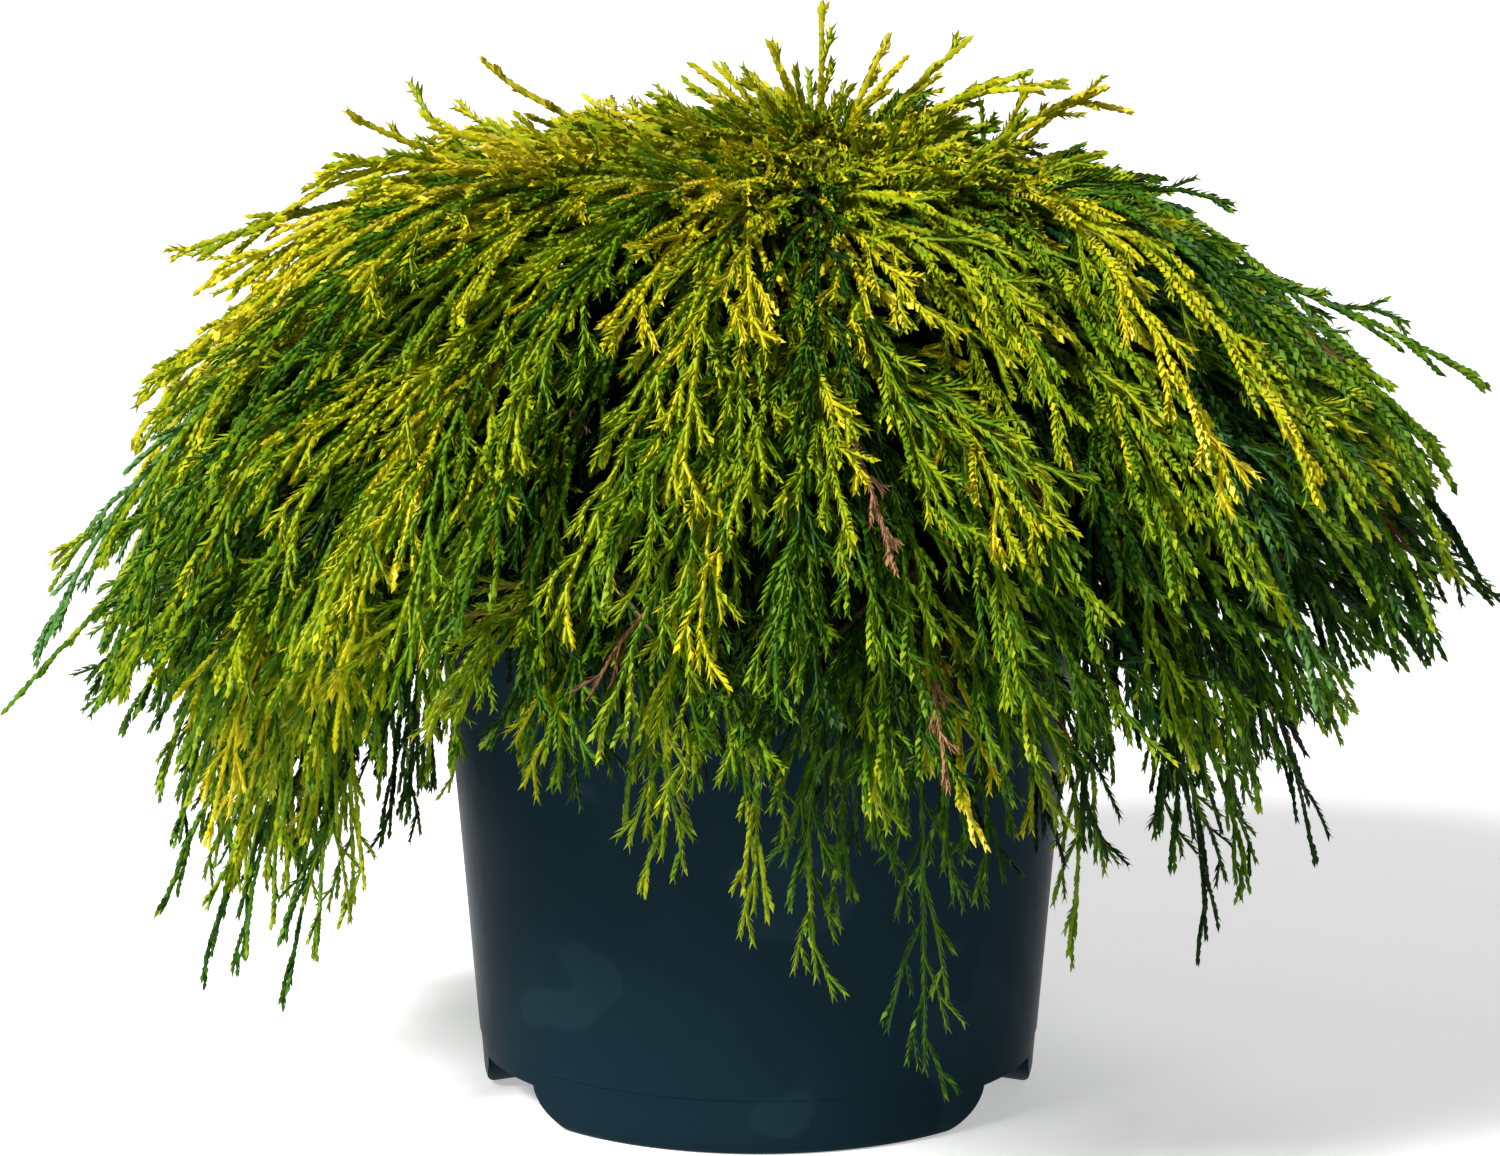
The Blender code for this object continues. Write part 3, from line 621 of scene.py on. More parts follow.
def notch_prism(name, angle, grow):
    """A drainage notch's outline, pushed out from its back wall along the way it faces."""
    half = [(NOTCH_FOOT_HALF_WIDTH + grow, -NOTCH_HEIGHT)]
    for step in range(NOTCH_SIDE_STEPS + 1):
        share = step / NOTCH_SIDE_STEPS
        spread = 1.0 - math.sin(0.5 * math.pi * share)
        half_width = mix(NOTCH_ROOF_HALF_WIDTH, NOTCH_FOOT_HALF_WIDTH, spread)
        half.append((half_width + grow, (NOTCH_HEIGHT + grow) * share))
    outline = half + [(-side, height) for side, height in reversed(half)]
    back = NOTCH_BACK_RADIUS - grow
    bm = bmesh.new()
    face = bm.faces.new([bm.verts.new((back, side, height)) for side, height in outline])
    pushed = bmesh.ops.extrude_face_region(bm, geom=[face])["geom"]
    moved = [item for item in pushed if isinstance(item, bmesh.types.BMVert)]
    bmesh.ops.translate(bm, verts=moved, vec=(NOTCH_FRONT_RADIUS - back, 0.0, 0.0))
    prism = linked(name, mesh_from_bmesh(name, bm))
    prism.rotation_euler.z = math.radians(angle - 90.0)
    return prism


def boolean(obj, operation, operand):
    modifier = obj.modifiers.new(operation.title(), "BOOLEAN")
    modifier.operation = operation
    modifier.object = operand


def make_pot():
    rim_foot = POT_HEIGHT - RIM_HEIGHT
    rim = POT_TOP_RADIUS + RIM_OVERHANG
    profile = [
        (0.0, POT_FLOOR),
        (pot_inner_radius(POT_FLOOR), POT_FLOOR),
        (pot_inner_radius(FOOT_ROUND_HEIGHT), FOOT_ROUND_HEIGHT),
        (pot_inner_radius(POT_HEIGHT), POT_HEIGHT - RIM_ROUND),
        (pot_inner_radius(POT_HEIGHT) + 0.5 * RIM_ROUND, POT_HEIGHT),
        (rim - RIM_ROUND, POT_HEIGHT),
        (rim, POT_HEIGHT - RIM_ROUND),
        (rim, rim_foot + 0.5 * RIM_ROUND),
        (rim - 0.5 * RIM_ROUND, rim_foot),
    ]
    pot = linked("pot_shell", turned_mesh("pot", profile + pot_outer_profile(), POT_STEPS))
    within_profile = [(0.0, rim_foot)] + pot_outer_profile(WALL_SINK)
    within = linked("within", turned_mesh("within", within_profile, POT_STEPS))
    helpers = [pot, within]
    for kind, grow, operation in (("pocket", POT_WALL, "UNION"), ("notch", 0.0, "DIFFERENCE")):
        for number, angle in enumerate(NOTCH_ANGLES):
            prism = notch_prism(f"{kind}_{number}", angle, grow)
            if kind == "pocket":
                boolean(prism, "INTERSECT", within)
            boolean(pot, operation, prism)
            helpers.append(prism)
    graph = bpy.context.evaluated_depsgraph_get()
    mesh = bpy.data.meshes.new_from_object(pot.evaluated_get(graph))
    for obj in helpers:
        bpy.data.objects.remove(obj, do_unlink=True)
    mesh.shade_smooth()
    mesh.set_sharp_from_angle(angle=math.radians(POT_SHARP_ANGLE))
    return piece("nursery_pot", mesh, [pot_material()], ["pot"])


def make_compost():
    """The compost, whose rough top has bark chips on it."""
    chance = random.Random(SEED + 1)
    edge = pot_inner_radius(SOIL_TOP) - GAP
    profile = [(edge * ring / SOIL_RINGS, SOIL_TOP) for ring in range(SOIL_RINGS + 1)]
    profile += [(pot_inner_radius(SOIL_FOOT) - GAP, SOIL_FOOT), (0.0, SOIL_FOOT)]
    mesh = turned_mesh("compost", profile, SOIL_STEPS)
    bm = bmesh.new()
    bm.from_mesh(mesh)

    def surface(x, y):
        dome = SOIL_DOME * (1.0 - (math.hypot(x, y) / edge) ** 2)
        lumps = noise.fractal(Vector((x, y, 0.0)) * SOIL_LUMPS_PER_M, *SOIL_FRACTAL)
        return SOIL_TOP + dome + SOIL_ROUGHNESS * lumps

    for vert in bm.verts:
        if vert.co.z > SOIL_FOOT:
            vert.co.z = surface(vert.co.x, vert.co.y)
    for _ in range(SOIL_CHIPS):
        way = heading(chance.uniform(0.0, 360.0))
        place = way * (SOIL_CHIP_REACH * edge * math.sqrt(chance.random()))
        place.z = surface(place.x, place.y) + SOIL_CHIP_LIFT
        size = chance.uniform(*SOIL_CHIP_SIZE)
        tilts = [chance.uniform(-SOIL_CHIP_TILT, SOIL_CHIP_TILT) for _ in range(2)]
        tilt = Euler(tilts + [chance.uniform(0.0, math.tau)])
        chip = bmesh.ops.create_cube(bm, size=size)["verts"]
        shape = (1.0, chance.uniform(*SOIL_CHIP_WIDTH), SOIL_CHIP_THICKNESS)
        bmesh.ops.scale(bm, verts=chip, vec=shape)
        bmesh.ops.rotate(bm, verts=chip, matrix=tilt.to_matrix())
        bmesh.ops.translate(bm, verts=chip, vec=place)
    bm.to_mesh(mesh)
    bm.free()
    return piece("compost", mesh, [grained_material("compost")], ["soil"])


# The trunk and the boughs


def trunk_share(height):
    return (height - TRUNK_FOOT) / (TRUNK_TOP - TRUNK_FOOT)


def trunk_point(height):
    share = trunk_share(height)
    lean = TRUNK_LEAN * max(share, 0.0) ** TRUNK_LEAN_POWER
    return Vector((lean, TRUNK_SWAY * math.sin(math.pi * share), height))


def trunk_radius(height):
    flare = FLARE_RADIUS * math.exp((TRUNK_FOOT - height) / FLARE_HEIGHT)
    return mix(TRUNK_RADIUS, TRUNK_TIP_RADIUS, trunk_share(height)) + flare


def bend(start, middle, end, count):
    """Points along the quadratic curve that the middle point pulls out."""
    points = []
    for index in range(count):
        share = index / (count - 1)
        points.append(start.lerp(middle, share).lerp(middle.lerp(end, share), share))
    return points


def foot_share(number, count):
    """Where a bough leaves the trunk within its tier: every other one stands higher."""
    pairs = (count + 1) // 2
    return 0.5 * (number % 2) + 0.5 * (number // 2) / pairs


def bough_path(tier, number):
    """A bough's line from the trunk's middle to its tip, then its mass's stem."""
    angle = tier["turn"] + 360.0 * number / tier["count"]
    foot = trunk_point(mix(*tier["bough_foot"], foot_share(number, tier["count"])))
    tip_radius, tip_height = tier["bough_tip"]
    tip = Vector((foot.x, foot.y, 0.0)) + heading(angle) * tip_radius + UP * tip_height
    middle = foot.lerp(tip, 0.5)
    middle.z = max(foot.z, tip.z) + BOUGH_ARCH * tip_radius
    points = bend(foot, middle, tip, BOUGH_STATIONS)
    way = (points[-1] - points[-2]).normalized()
    steps = range(1, STEM_STATIONS + 1)
    return points + [tip + way * (STEM_LENGTH * step / STEM_STATIONS) for step in steps]


def bark_tube(bm, points, radii, sides, level_foot=False):
    """A tapering limb whose bark stands up in ridges along it."""
    across = None
    rings = []
    travelled = 0.0
    for index, (point, radius) in enumerate(zip(points, radii)):
        before = points[max(index - 1, 0)]
        after = points[min(index + 1, len(points) - 1)]
        tangent = (after - before).normalized()
        if level_foot and index == 0:
            tangent = UP
        if across is None:
            across = tangent.orthogonal()
        across = (across - tangent * tangent.dot(across)).normalized()
        other = tangent.cross(across)
        travelled += (point - before).length
        ring = []
        for side in range(sides):
            turn = math.tau * side / sides
            round_x = math.cos(turn) * BARK_RIDGES
            round_y = math.sin(turn) * BARK_RIDGES
            place = Vector((round_x, round_y, travelled * BARK_TURNS_PER_M))
            ridge = abs(noise.noise(place)) * RIDGE_GAIN - RIDGE_SINK
            spoke = across * math.cos(turn) + other * math.sin(turn)
            ring.append(bm.verts.new(point + spoke * (radius * (1.0 + BARK_RELIEF * ridge))))
        rings.append(ring)
    skin(bm, rings, sides)
    bm.faces.new(list(reversed(rings[0])))
    bm.faces.new(rings[-1])


def bark_piece(name, bm, replaced):
    mesh = mesh_from_bmesh(name, bm)
    mesh.shade_smooth()
    return piece(name, mesh, [grained_material("bark")], replaced)


def make_limbs():
    """The barked trunk and boughs. It gives each bough's line, by its tier."""
    bm = bmesh.new()
    shares = [(step / TRUNK_STATIONS) ** TRUNK_STATION_POWER for step in range(TRUNK_STATIONS + 1)]
    heights = [mix(TRUNK_FOOT, TRUNK_TOP, share) for share in shares]
    points = [trunk_point(height) for height in heights]
    radii = [trunk_radius(height) for height in heights]
    bark_tube(bm, points, radii, TRUNK_SIDES, level_foot=True)
    bark_piece("trunk_bark", bm, ["trunk"])

    bm = bmesh.new()
    names = []
    paths = {}
    for tier_name, tier in TIERS.items():
        thick, thin = tier["bough_radius"]
        for number in range(tier["count"]):
            path = bough_path(tier, number)
            radii = [mix(thick, thin, index / BOUGH_STATIONS) for index in range(BOUGH_STATIONS)]
            radii += [mix(thin, STEM_TIP, (n + 1) / STEM_STATIONS) for n in range(STEM_STATIONS)]
            bark_tube(bm, path, radii, BOUGH_SIDES)
            names.append(f"bough_{tier_name}_{number + 1:02d}")
            paths[tier_name, number] = path
    bark_piece("bough_bark", bm, names)
    return paths


# The crown's outline and the main shoots


def outline_at(reach):
    """The outline's (radius, height) at a distance along it from the apex."""
    stations = list(CROWN_OUTLINE.values())
    for start, end in zip(stations, stations[1:]):
        length = math.dist(start, end)
        if reach <= length or end == stations[-1]:
            share = min(reach / length, 1.0)
            return mix(start[0], end[0], share), mix(start[1], end[1], share)
        reach -= length


def outward_from(centre, angle, radius):
    """The point at a radius from the Z axis, seen from a tier's centre at an angle."""
    way = heading(angle)
    along = centre.dot(way)
    reach = -along + math.sqrt(max(0.0, along**2 - centre.dot(centre) + radius**2))
    return centre + way * reach


def floor_at(floor, radius):
    height, fall, reach = floor
    return height - fall * (radius / reach) ** 3


def tier_of(point):
    """Which tier's space a point lies in."""
    top = trunk_point(TRUNK_TOP)
    radius = math.hypot(point.x, point.y)
    if point.z > TUFT_CONE_FOOT + TUFT_CONE_SLOPE * math.hypot(point.x - top.x, point.y - top.y):
        return "tuft"
    if point.z > floor_at(UPPER_FLOOR, radius):
        return "upper"
    return "middle" if point.z > floor_at(MIDDLE_FLOOR, radius) else "lower"


def outward_at(point):
    """The way the crown faces at a point, between level and up."""
    level = Vector((point.x, point.y, 0.0))
    return (level + UP * max(0.0, point.z - LEVEL_HEIGHT)).normalized()


def weeping_controls(root, tip, launch, droop, sway):
    """The middle point of a shoot that sets out at its launch slope and hangs at its droop slope."""
    level = Vector((tip.x - root.x, tip.y - root.y, 0.0))
    distance = level.length
    rise = math.tan(math.radians(launch))
    fall = math.tan(math.radians(droop))
    turn = (tip.z - root.z - distance * fall) / (rise - fall)
    turn = max(TURNS[0] * distance, min(TURNS[1] * distance, turn))
    way = level.normalized()
    return root + way * turn + UP * (rise * turn) + way.cross(UP) * (sway * distance)


def along_path(path, share):
    """The point at a share of the way along a path of points."""
    place = share * (len(path) - 1)
    index = min(int(place), len(path) - 2)
    return path[index].lerp(path[index + 1], place - index)


def slope_of(way):
    """How steeply a way rises, in degrees."""
    return math.degrees(math.atan2(way.z, math.hypot(way.x, way.y)))


def value_at(table, place):
    """A value read from rows of (place, value)."""
    places, values = zip(*table)
    return float(np.interp(place, places, values))


def wrapped(angle):
    """The same angle, between -180 and 180."""
    return (angle + 180.0) % 360.0 - 180.0


def lifted_to_hem(height, angle):
    """A tip's height, once the lowest part of the crown is drawn up to the ragged hem."""
    if height > HEM_TOP:
        return height
    hem = value_at(HEM, wrapped(angle))
    lowest = CROWN_OUTLINE["lowest"][1]
    return mix(hem, HEM_TOP, (height - lowest) / (HEM_TOP - lowest))


def on_the_outline(centre, angle, reach, inset):
    """A tip at a distance along the outline, which sags on the right and is drawn up at the hem."""
    radius, height = outline_at(reach)
    before = outline_at(reach - NORMAL_STEP)
    after = outline_at(reach + NORMAL_STEP)
    length = math.dist(before, after)
    radius += inset * (after[1] - before[1]) / length
    height -= inset * (after[0] - before[0]) / length
    tip = outward_from(centre, angle, max(radius, LEAST_RADIUS))
    low, high = RIGHT_DROP_HEIGHTS
    sag = max(0.0, min(1.0, (height - low) / (high - low)))
    tip.z = lifted_to_hem(height, angle) - sag * RIGHT_DROP * max(0.0, tip.x)
    tip.x += value_at(FLANK_SHIFT, tip.z)
    return tip


def shoot_tint(tip, darker, chance):
    """A shoot's place on the ramp from shade to sun, and its family of colours."""
    patch = noise.noise(tip * TINT_PATCHES_PER_M) * TINT_PATCH
    # Lighter with height, partly the upper growth's own colour and partly painted sun, with painted
    # shade to the right
    tint = value_at(TINT_BY_HEIGHT, tip.z) + patch - SHADE_TO_THE_RIGHT * max(0.0, tip.x)
    tint += chance.gauss(0.0, TINT_SPREAD)
    for x, y, z, radius in LIT_PLACES.values():
        tint += LIT_GAIN * max(0.0, 1.0 - (tip - Vector((x, y, z))).length / radius)
    for x, y, z, radius in GOLD_PLACES.values():
        if (tip - Vector((x, y, z))).length < radius and chance.random() < GOLD_CHANCE:
            tint += GOLD_GAIN
    blue = tip.z < BLUE_UNDER and chance.random() < BLUE_CHANCE
    # The layer's painted shade is taken off the tint, less of it low down
    tint = min(tint, TINT_MOST) - darker * value_at(SHADE_BY_HEIGHT, tip.z)
    return tint, BLUE if blue else GREEN


def shoot_row(root, tip, launch, droop, darker, name, chance, arch=LEAST_ARCH):
    """A main shoot: its start, middle and end, the way its spray faces, its tint and family, and
    how bushy it is."""
    direct = slope_of(tip - root)
    launch = min(max(launch, direct + arch), -STEEPEST)
    droop = max(min(droop, direct - arch), STEEPEST)
    launch, droop = TIP_BENDS.get(name, (launch, droop))
    middle = weeping_controls(root, tip, launch, droop, chance.uniform(-SWAY, SWAY))
    tint, family = shoot_tint(tip, darker, chance)
    if name:
        family = DEAD if name in DEAD_TIPS else GREEN
    if name in GOLD_TIPS:
        tint = TINT_MOST
    halfway = root * 0.25 + middle * 0.5 + tip * 0.25
    face = outward_at(halfway)
    bush = SLIM_BUSH if name in SLIM_TIPS or name in DEAD_TIPS else 1.0
    if darker > DEEP_LAYER:
        bush = DEEP_BUSH
    return root, middle, tip, face, tint, family, bush


def main_shoots(paths):
    """Every mass's main shoots, as rows by the mass's name."""
    masses = {"tuft": tuft_shoots()}
    for (tier_name, number), path in paths.items():
        tier = TIERS[tier_name]
        chance = random.Random(f"{SEED} {tier_name} {number}")
        angle = tier["turn"] + 360.0 * number / tier["count"]
        half_angle = 180.0 / tier["count"]
        centre = trunk_point(mix(*tier["bough_foot"], 0.5))
        centre.z = 0.0
        rows = []
        for name, place in (REACHING_TIPS | DEAD_TIPS).items():
            own_chance = random.Random(name) if name in DEAD_TIPS else chance
            tip = Vector(place)
            offset = tip - centre
            around = wrapped(math.degrees(math.atan2(offset.x, -offset.y)) - angle)
            if tier_of(tip) == tier_name and abs(around) < half_angle:
                root = along_path(path, own_chance.uniform(tier["roots"], 1.0))
                slope = slope_of(tip - root)
                bends = slope + FAR_BEND, slope - FAR_BEND
                rows.append(shoot_row(root, tip, *bends, 0.0, name, own_chance))
        density = value_at(HEM_DENSITY, wrapped(angle)) if tier_name == "lower" else 1.0
        for full_count, inset, drop, darker in tier["layers"]:
            count = round(full_count * density)
            for slot in range(count):
                jitter = chance.uniform(0.0, SHARE_JITTER)
                share = (slot * GOLDEN + LAYER_SHIFT * drop + jitter) % 1.0
                side = (2 * slot + 1 + chance.uniform(-SLOT_JITTER, SLOT_JITTER)) / count - 1.0
                reach = mix(*tier["reach"], share)
                inwards = inset + chance.uniform(0.0, TIP_JITTER)
                turn = angle + side * half_angle
                tip = on_the_outline(centre, turn, reach, inwards)
                root = along_path(path, chance.uniform(tier["roots"], 1.0))
                droop = value_at(TIP_SLOPES, reach) + chance.gauss(0.0, DROOP_JITTER)
                launch = tier["launch"] - drop
                rows.append(shoot_row(root, tip, launch, droop, darker, "", chance))
        masses[f"{tier_name}_{number + 1:02d}"] = rows
    return masses


def tuft_shoots():
    """The shoots on the trunk's top, which stand up before they arch over."""
    chance = random.Random(SEED)
    top = trunk_point(TRUNK_TOP)
    rows = []
    for name, place in REACHING_TIPS.items():
        tip = Vector(place)
        if tier_of(tip) == "tuft":
            root = top + UP * chance.uniform(*TUFT_ROOT)
            slope = slope_of(tip - root)
            bends = slope + LEADER_ARCH, slope - LEADER_ARCH
            rows.append(shoot_row(root, tip, *bends, 0.0, name, chance, LEADER_ARCH))
    for number in range(TUFT_SHOOTS):
        reach = TUFT_REACH * math.sqrt((number + 0.5) / TUFT_SHOOTS)
        radius, height = outline_at(reach)
        jitter = chance.uniform(-TUFT_TURN_JITTER, TUFT_TURN_JITTER)
        tip = top + heading(360.0 * GOLDEN * number + jitter) * radius
        deeper = chance.uniform(*TUFT_DEPTH_JITTER) * TIP_JITTER
        tip.z = height - APEX_DROP - deeper - RIGHT_DROP * max(0.0, tip.x)
        root = top + UP * chance.uniform(*TUFT_ROOT)
        slope = value_at(TIP_SLOPES, reach)
        rows.append(shoot_row(root, tip, slope + TUFT_ARCH, slope, 0.0, "", chance))
    return rows


# Twigs, as arrays of quadratic curves


def unit(vectors):
    return vectors / np.maximum(np.linalg.norm(vectors, axis=1, keepdims=True), 1e-12)


def picked(twigs, chosen):
    return {key: values[chosen] for key, values in twigs.items()}


def twigs_from(masses):
    """The main shoots of every mass as arrays, with the number of the mass."""
    rows = [row + (number,) for number, name in enumerate(masses) for row in masses[name]]
    columns = [np.array(column) for column in zip(*rows)]
    twigs = dict(zip(("start", "middle", "end", "face", "tint", "family", "bush", "mass"), columns))
    girth = np.interp(twigs["end"][:, 2], *zip(*GIRTH_BY_HEIGHT))
    twigs["girth"] = girth * np.where(twigs["family"] == DEAD, DEAD_GIRTH, 1.0)
    return twigs


def curve_at(twigs, owner, share):
    """Points and unit tangents at shares of the owners' curves."""
    start = twigs["start"][owner]
    middle = twigs["middle"][owner]
    end = twigs["end"][owner]
    share = share[:, None]
    points = start * (1 - share) ** 2 + 2 * middle * share * (1 - share) + end * share**2
    return points, unit((middle - start) * (1 - share) + (end - middle) * share)


def length_tables(twigs):
    """The distance gone at evenly spaced shares of each curve, with its whole length last."""
    count = len(twigs["start"])
    shares = np.linspace(0.0, 1.0, LENGTH_STEPS + 1)
    table = np.zeros((count, LENGTH_STEPS + 1))
    owner = np.arange(count)
    last = twigs["start"]
    for step, share in enumerate(shares[1:], 1):
        points, _ = curve_at(twigs, owner, np.full(count, share))
        table[:, step] = table[:, step - 1] + np.linalg.norm(points - last, axis=1)
        last = points
    return table


def stations(twigs, spacing, low, high):
    """Evenly spaced places along every twig: which twig, the curve's share there, how far along
    it is from 0 to 1, and its number on the twig."""
    table = length_tables(twigs)
    length = table[:, -1]
    counts = np.maximum(1, np.round(length * (high - low) / spacing).astype(int))
    owner = np.repeat(np.arange(len(counts)), counts)
    number = np.arange(counts.sum()) - np.repeat(np.cumsum(counts) - counts, counts)
    gone = low + (high - low) * (number + 0.5) / counts[owner]
    rows = table[owner]
    target = gone * length[owner]
    step = np.clip((rows < target[:, None]).sum(axis=1) - 1, 0, LENGTH_STEPS - 1)
    index = np.arange(len(owner))
    before = rows[index, step]
    share = (step + (target - before) / np.maximum(rows[index, step + 1] - before, 1e-9)) / LENGTH_STEPS
    return owner, share, gone, number


def frames_at(twigs, owner, share):
    """Points, tangents, and the directions across the spray and out of it."""
    points, tangents = curve_at(twigs, owner, share)
    across = unit(np.cross(tangents, twigs["face"][owner]))
    return points, tangents, across, np.cross(across, tangents)


def grow_twigs(twigs, rule, rng):
    """Twigs that grow left and right in turn along other twigs, and bend after them and down."""
    owner, share, gone, number = stations(twigs, rule["spacing"], rule["from"], rule["to"])
    points, tangents, across, out = frames_at(twigs, owner, share)
    count = len(owner)
    side = np.where(number % 2, 1.0, -1.0)[:, None]
    angle = np.radians(rng.uniform(*rule["angle"], count))[:, None]
    roll = np.radians(rng.normal(rule["lift"], rule["roll"], count))[:, None]
    sideways = side * np.cos(roll) * across + np.sin(roll) * out
    heads = np.cos(angle) * tangents + np.sin(angle) * sideways
    shortest, longest = rule["length"]
    profile = np.sin(math.pi * np.clip(rule["swell"] * (1.0 - gone) + LEAST_SWELL, 0.0, 0.5))
    length = shortest + (longest - shortest) * profile * rng.uniform(*TWIG_LENGTH_JITTER, count)
    length = (length * twigs["bush"][owner])[:, None]
    from_middle = np.hypot(points[:, 0], points[:, 1])
    sink = np.interp(from_middle, (0.0, UPRIGHT_RADIUS), (-UPRIGHT_LIFT, 1.0))
    down = np.outer(sink, (0.0, 0.0, -1.0))
    pull = rule["forward"] * (tangents - heads) + rule["fall"] * down
    jitter = rng.normal(0.0, rule["tint_spread"], count)
    made = picked(twigs, owner) | {
        "start": points,
        "middle": points + 0.5 * length * heads,
        "end": points + length * (heads + 0.5 * pull),
        "face": unit(side * np.cross(sideways, tangents)),
        "tint": twigs["tint"][owner] + jitter + rule["tint_gain"] * (gone - 0.5),
    }
    dead = rng.random(count) < rule["dead"]
    made["family"][dead] = DEAD
    made["girth"][dead] *= DEAD_GIRTH
    return kept_clear(made)


def kept_clear(twigs):
    """Drops the twigs that would touch the pot, hang too low or reach far out of the solids."""
    owner = np.arange(len(twigs["start"]))
    keep = np.ones(len(owner), bool)
    low = np.array(CAD_LOW) - BOX_MARGIN
    high = np.array(CAD_HIGH) + BOX_MARGIN
    for share in (0.0, 0.25, 0.5, 0.75, 1.0):
        points, _ = curve_at(twigs, owner, np.full(len(owner), share))
        radius = np.hypot(points[:, 0], points[:, 1])
        height = points[:, 2]
        at_rim = height > POT_HEIGHT - RIM_HEIGHT - POT_CLEAR
        wall = pot_radius(height) + np.where(at_rim, RIM_OVERHANG, 0.0)
        in_pot = (radius < wall + POT_CLEAR) & (height < POT_HEIGHT + POT_CLEAR)
        outside = ((points < low) | (points > high)).any(axis=1)
        keep &= ~in_pot & ~outside
    return picked(twigs, keep)


# Leaves


def leaves_on(twigs, leaf, rng):
    """Pairs of pointed scale leaves along each cord, one left and one right. A leaf is a keeled
    kite. It gives the leaves' corners, materials and masses."""
    spacing, length, half_width, stand = leaf
    owner, share, gone, number = stations(twigs, spacing, LEAFLESS_FOOT, 1.0)
    points, tangents, across, out = frames_at(twigs, owner, share)
    count = len(owner)
    girth = twigs["girth"][owner][:, None]
    half_width = half_width * girth
    stand = stand * girth
    corners = []
    tints = []
    for side in (1.0, -1.0):
        lean = rng.normal(0.0, LEAF_LEAN, count)[:, None]
        outward = unit(side * across + lean * out)
        sideways = np.cross(tangents, outward)
        size = (rng.uniform(*LEAF_SIZE_JITTER, count) * (1.0 - LEAF_LOSS_AT_TIP * gone**4))[:, None]
        foot = points - LEAF_FOOT_BACK * length * tangents + LEAF_FOOT_STAND * half_width * outward
        broad = points + LEAF_BROADEST * length * size * tangents
        broad += LEAF_BROAD_STAND * half_width * outward
        tip_stand = stand * size * rng.uniform(*LEAF_STAND_JITTER, count)[:, None]
        tip = points + length * size * tangents + tip_stand * outward
        wide = half_width * size * sideways
        corners.append(np.stack([foot, broad - wide, tip, broad + wide], axis=1))
        tints.append(tint_along(twigs, owner, gone) + rng.normal(0.0, LEAF_SPREAD, count))
    slots = colour_slots(np.concatenate(tints), np.tile(twigs["family"][owner], 2))
    return np.concatenate(corners), slots, np.tile(twigs["mass"][owner], 2)


def tint_along(twigs, owner, gone):
    """The tint at a place along each owner, which grows lighter towards its tip."""
    return twigs["tint"][owner] + TIP_GAIN * (gone - TIP_GAIN_FROM)


def colour_slots(tints, family):
    """The materials that leaves take: a step on their own family's scale of colours."""
    steps = (tints, (tints - BLUE_FROM) / BLUE_STEP, tints - DEAD_FROM)
    slots = []
    first = 0
    for step, colours in zip(steps, (RAMP, BLUE_GREENS, DEAD_BROWNS)):
        slots.append(first + np.clip(np.round(step), 0, len(colours) - 1))
        first += len(colours)
    return np.choose(family, slots).astype(np.int32)


def leaf_mesh(name, corners, slots):
    first = 4 * np.arange(len(corners))[:, None]
    right = first + np.array([[0, 3, 2]])
    left = first + np.array([[0, 2, 1]])
    triangles = np.stack([right, left], axis=1).reshape(-1, 3)
    return mesh_from_arrays(name, corners.reshape(-1, 3), triangles, np.repeat(slots, 2))


# Cords under the leaves, and green wood in the shoots


def tubes(twigs, low, high, lengths, thick, thin, sides):
    """Slim tapering tubes along part of each twig: their points, triangles, and for each triangle
    its twig and how far along the twig it is."""
    count = len(twigs["start"])
    owner = np.repeat(np.arange(count), lengths + 1)
    step = np.tile(np.arange(lengths + 1), count)
    points, _, across, out = frames_at(twigs, owner, low + (high - low) * step / lengths)
    radius = (thick + (thin - thick) * step / lengths) * twigs["girth"][owner]
    turn = math.tau * (np.arange(sides) + 0.5) / sides
    ring = np.cos(turn)[None, :, None] * across[:, None] + np.sin(turn)[None, :, None] * out[:, None]
    verts = points[:, None] + ring * radius[:, None, None]
    index = np.arange(count * (lengths + 1) * sides).reshape(count, lengths + 1, sides)
    below = index[:, :-1]
    above = index[:, 1:]
    below_next = np.roll(below, -1, axis=2)
    above_next = np.roll(above, -1, axis=2)
    first = np.stack([below, below_next, above_next], axis=-1).reshape(-1, 3)
    second = np.stack([below, above_next, above], axis=-1).reshape(-1, 3)
    owners = np.repeat(np.arange(count), lengths * sides)
    gone = np.tile(np.repeat((np.arange(lengths) + 0.5) / lengths, sides), count)
    return verts.reshape(-1, 3), np.concatenate([first, second]), np.tile(owners, 2), np.tile(gone, 2)


def make_cords(levels, names, looks):
    """The green cords that the leaves sit on, one piece for each tier."""
    tiers = [name.split("_")[0] for name in names]
    for tier in dict.fromkeys(tiers):
        points, triangles, slots = [], [], []
        first = 0
        for twigs, (thick, thin, lengths) in zip(levels, CORDS):
            mine = np.array([tiers[number] == tier for number in twigs["mass"]])
            some = picked(twigs, mine)
            made, faces, owner, gone = tubes(some, 0.0, 1.0, lengths, thick, thin, CORD_SIDES)
            points.append(made)
            triangles.append(faces + first)
            tint = tint_along(some, owner, gone) - CORD_SHADE
            slots.append(colour_slots(tint, some["family"][owner]))
            first += len(made)
        name = f"cords_{tier}"
        arrays = (np.concatenate(values) for values in (points, triangles, slots))
        mesh = mesh_from_arrays(name, *arrays)
        mesh.shade_smooth()
        piece(name, mesh, looks)


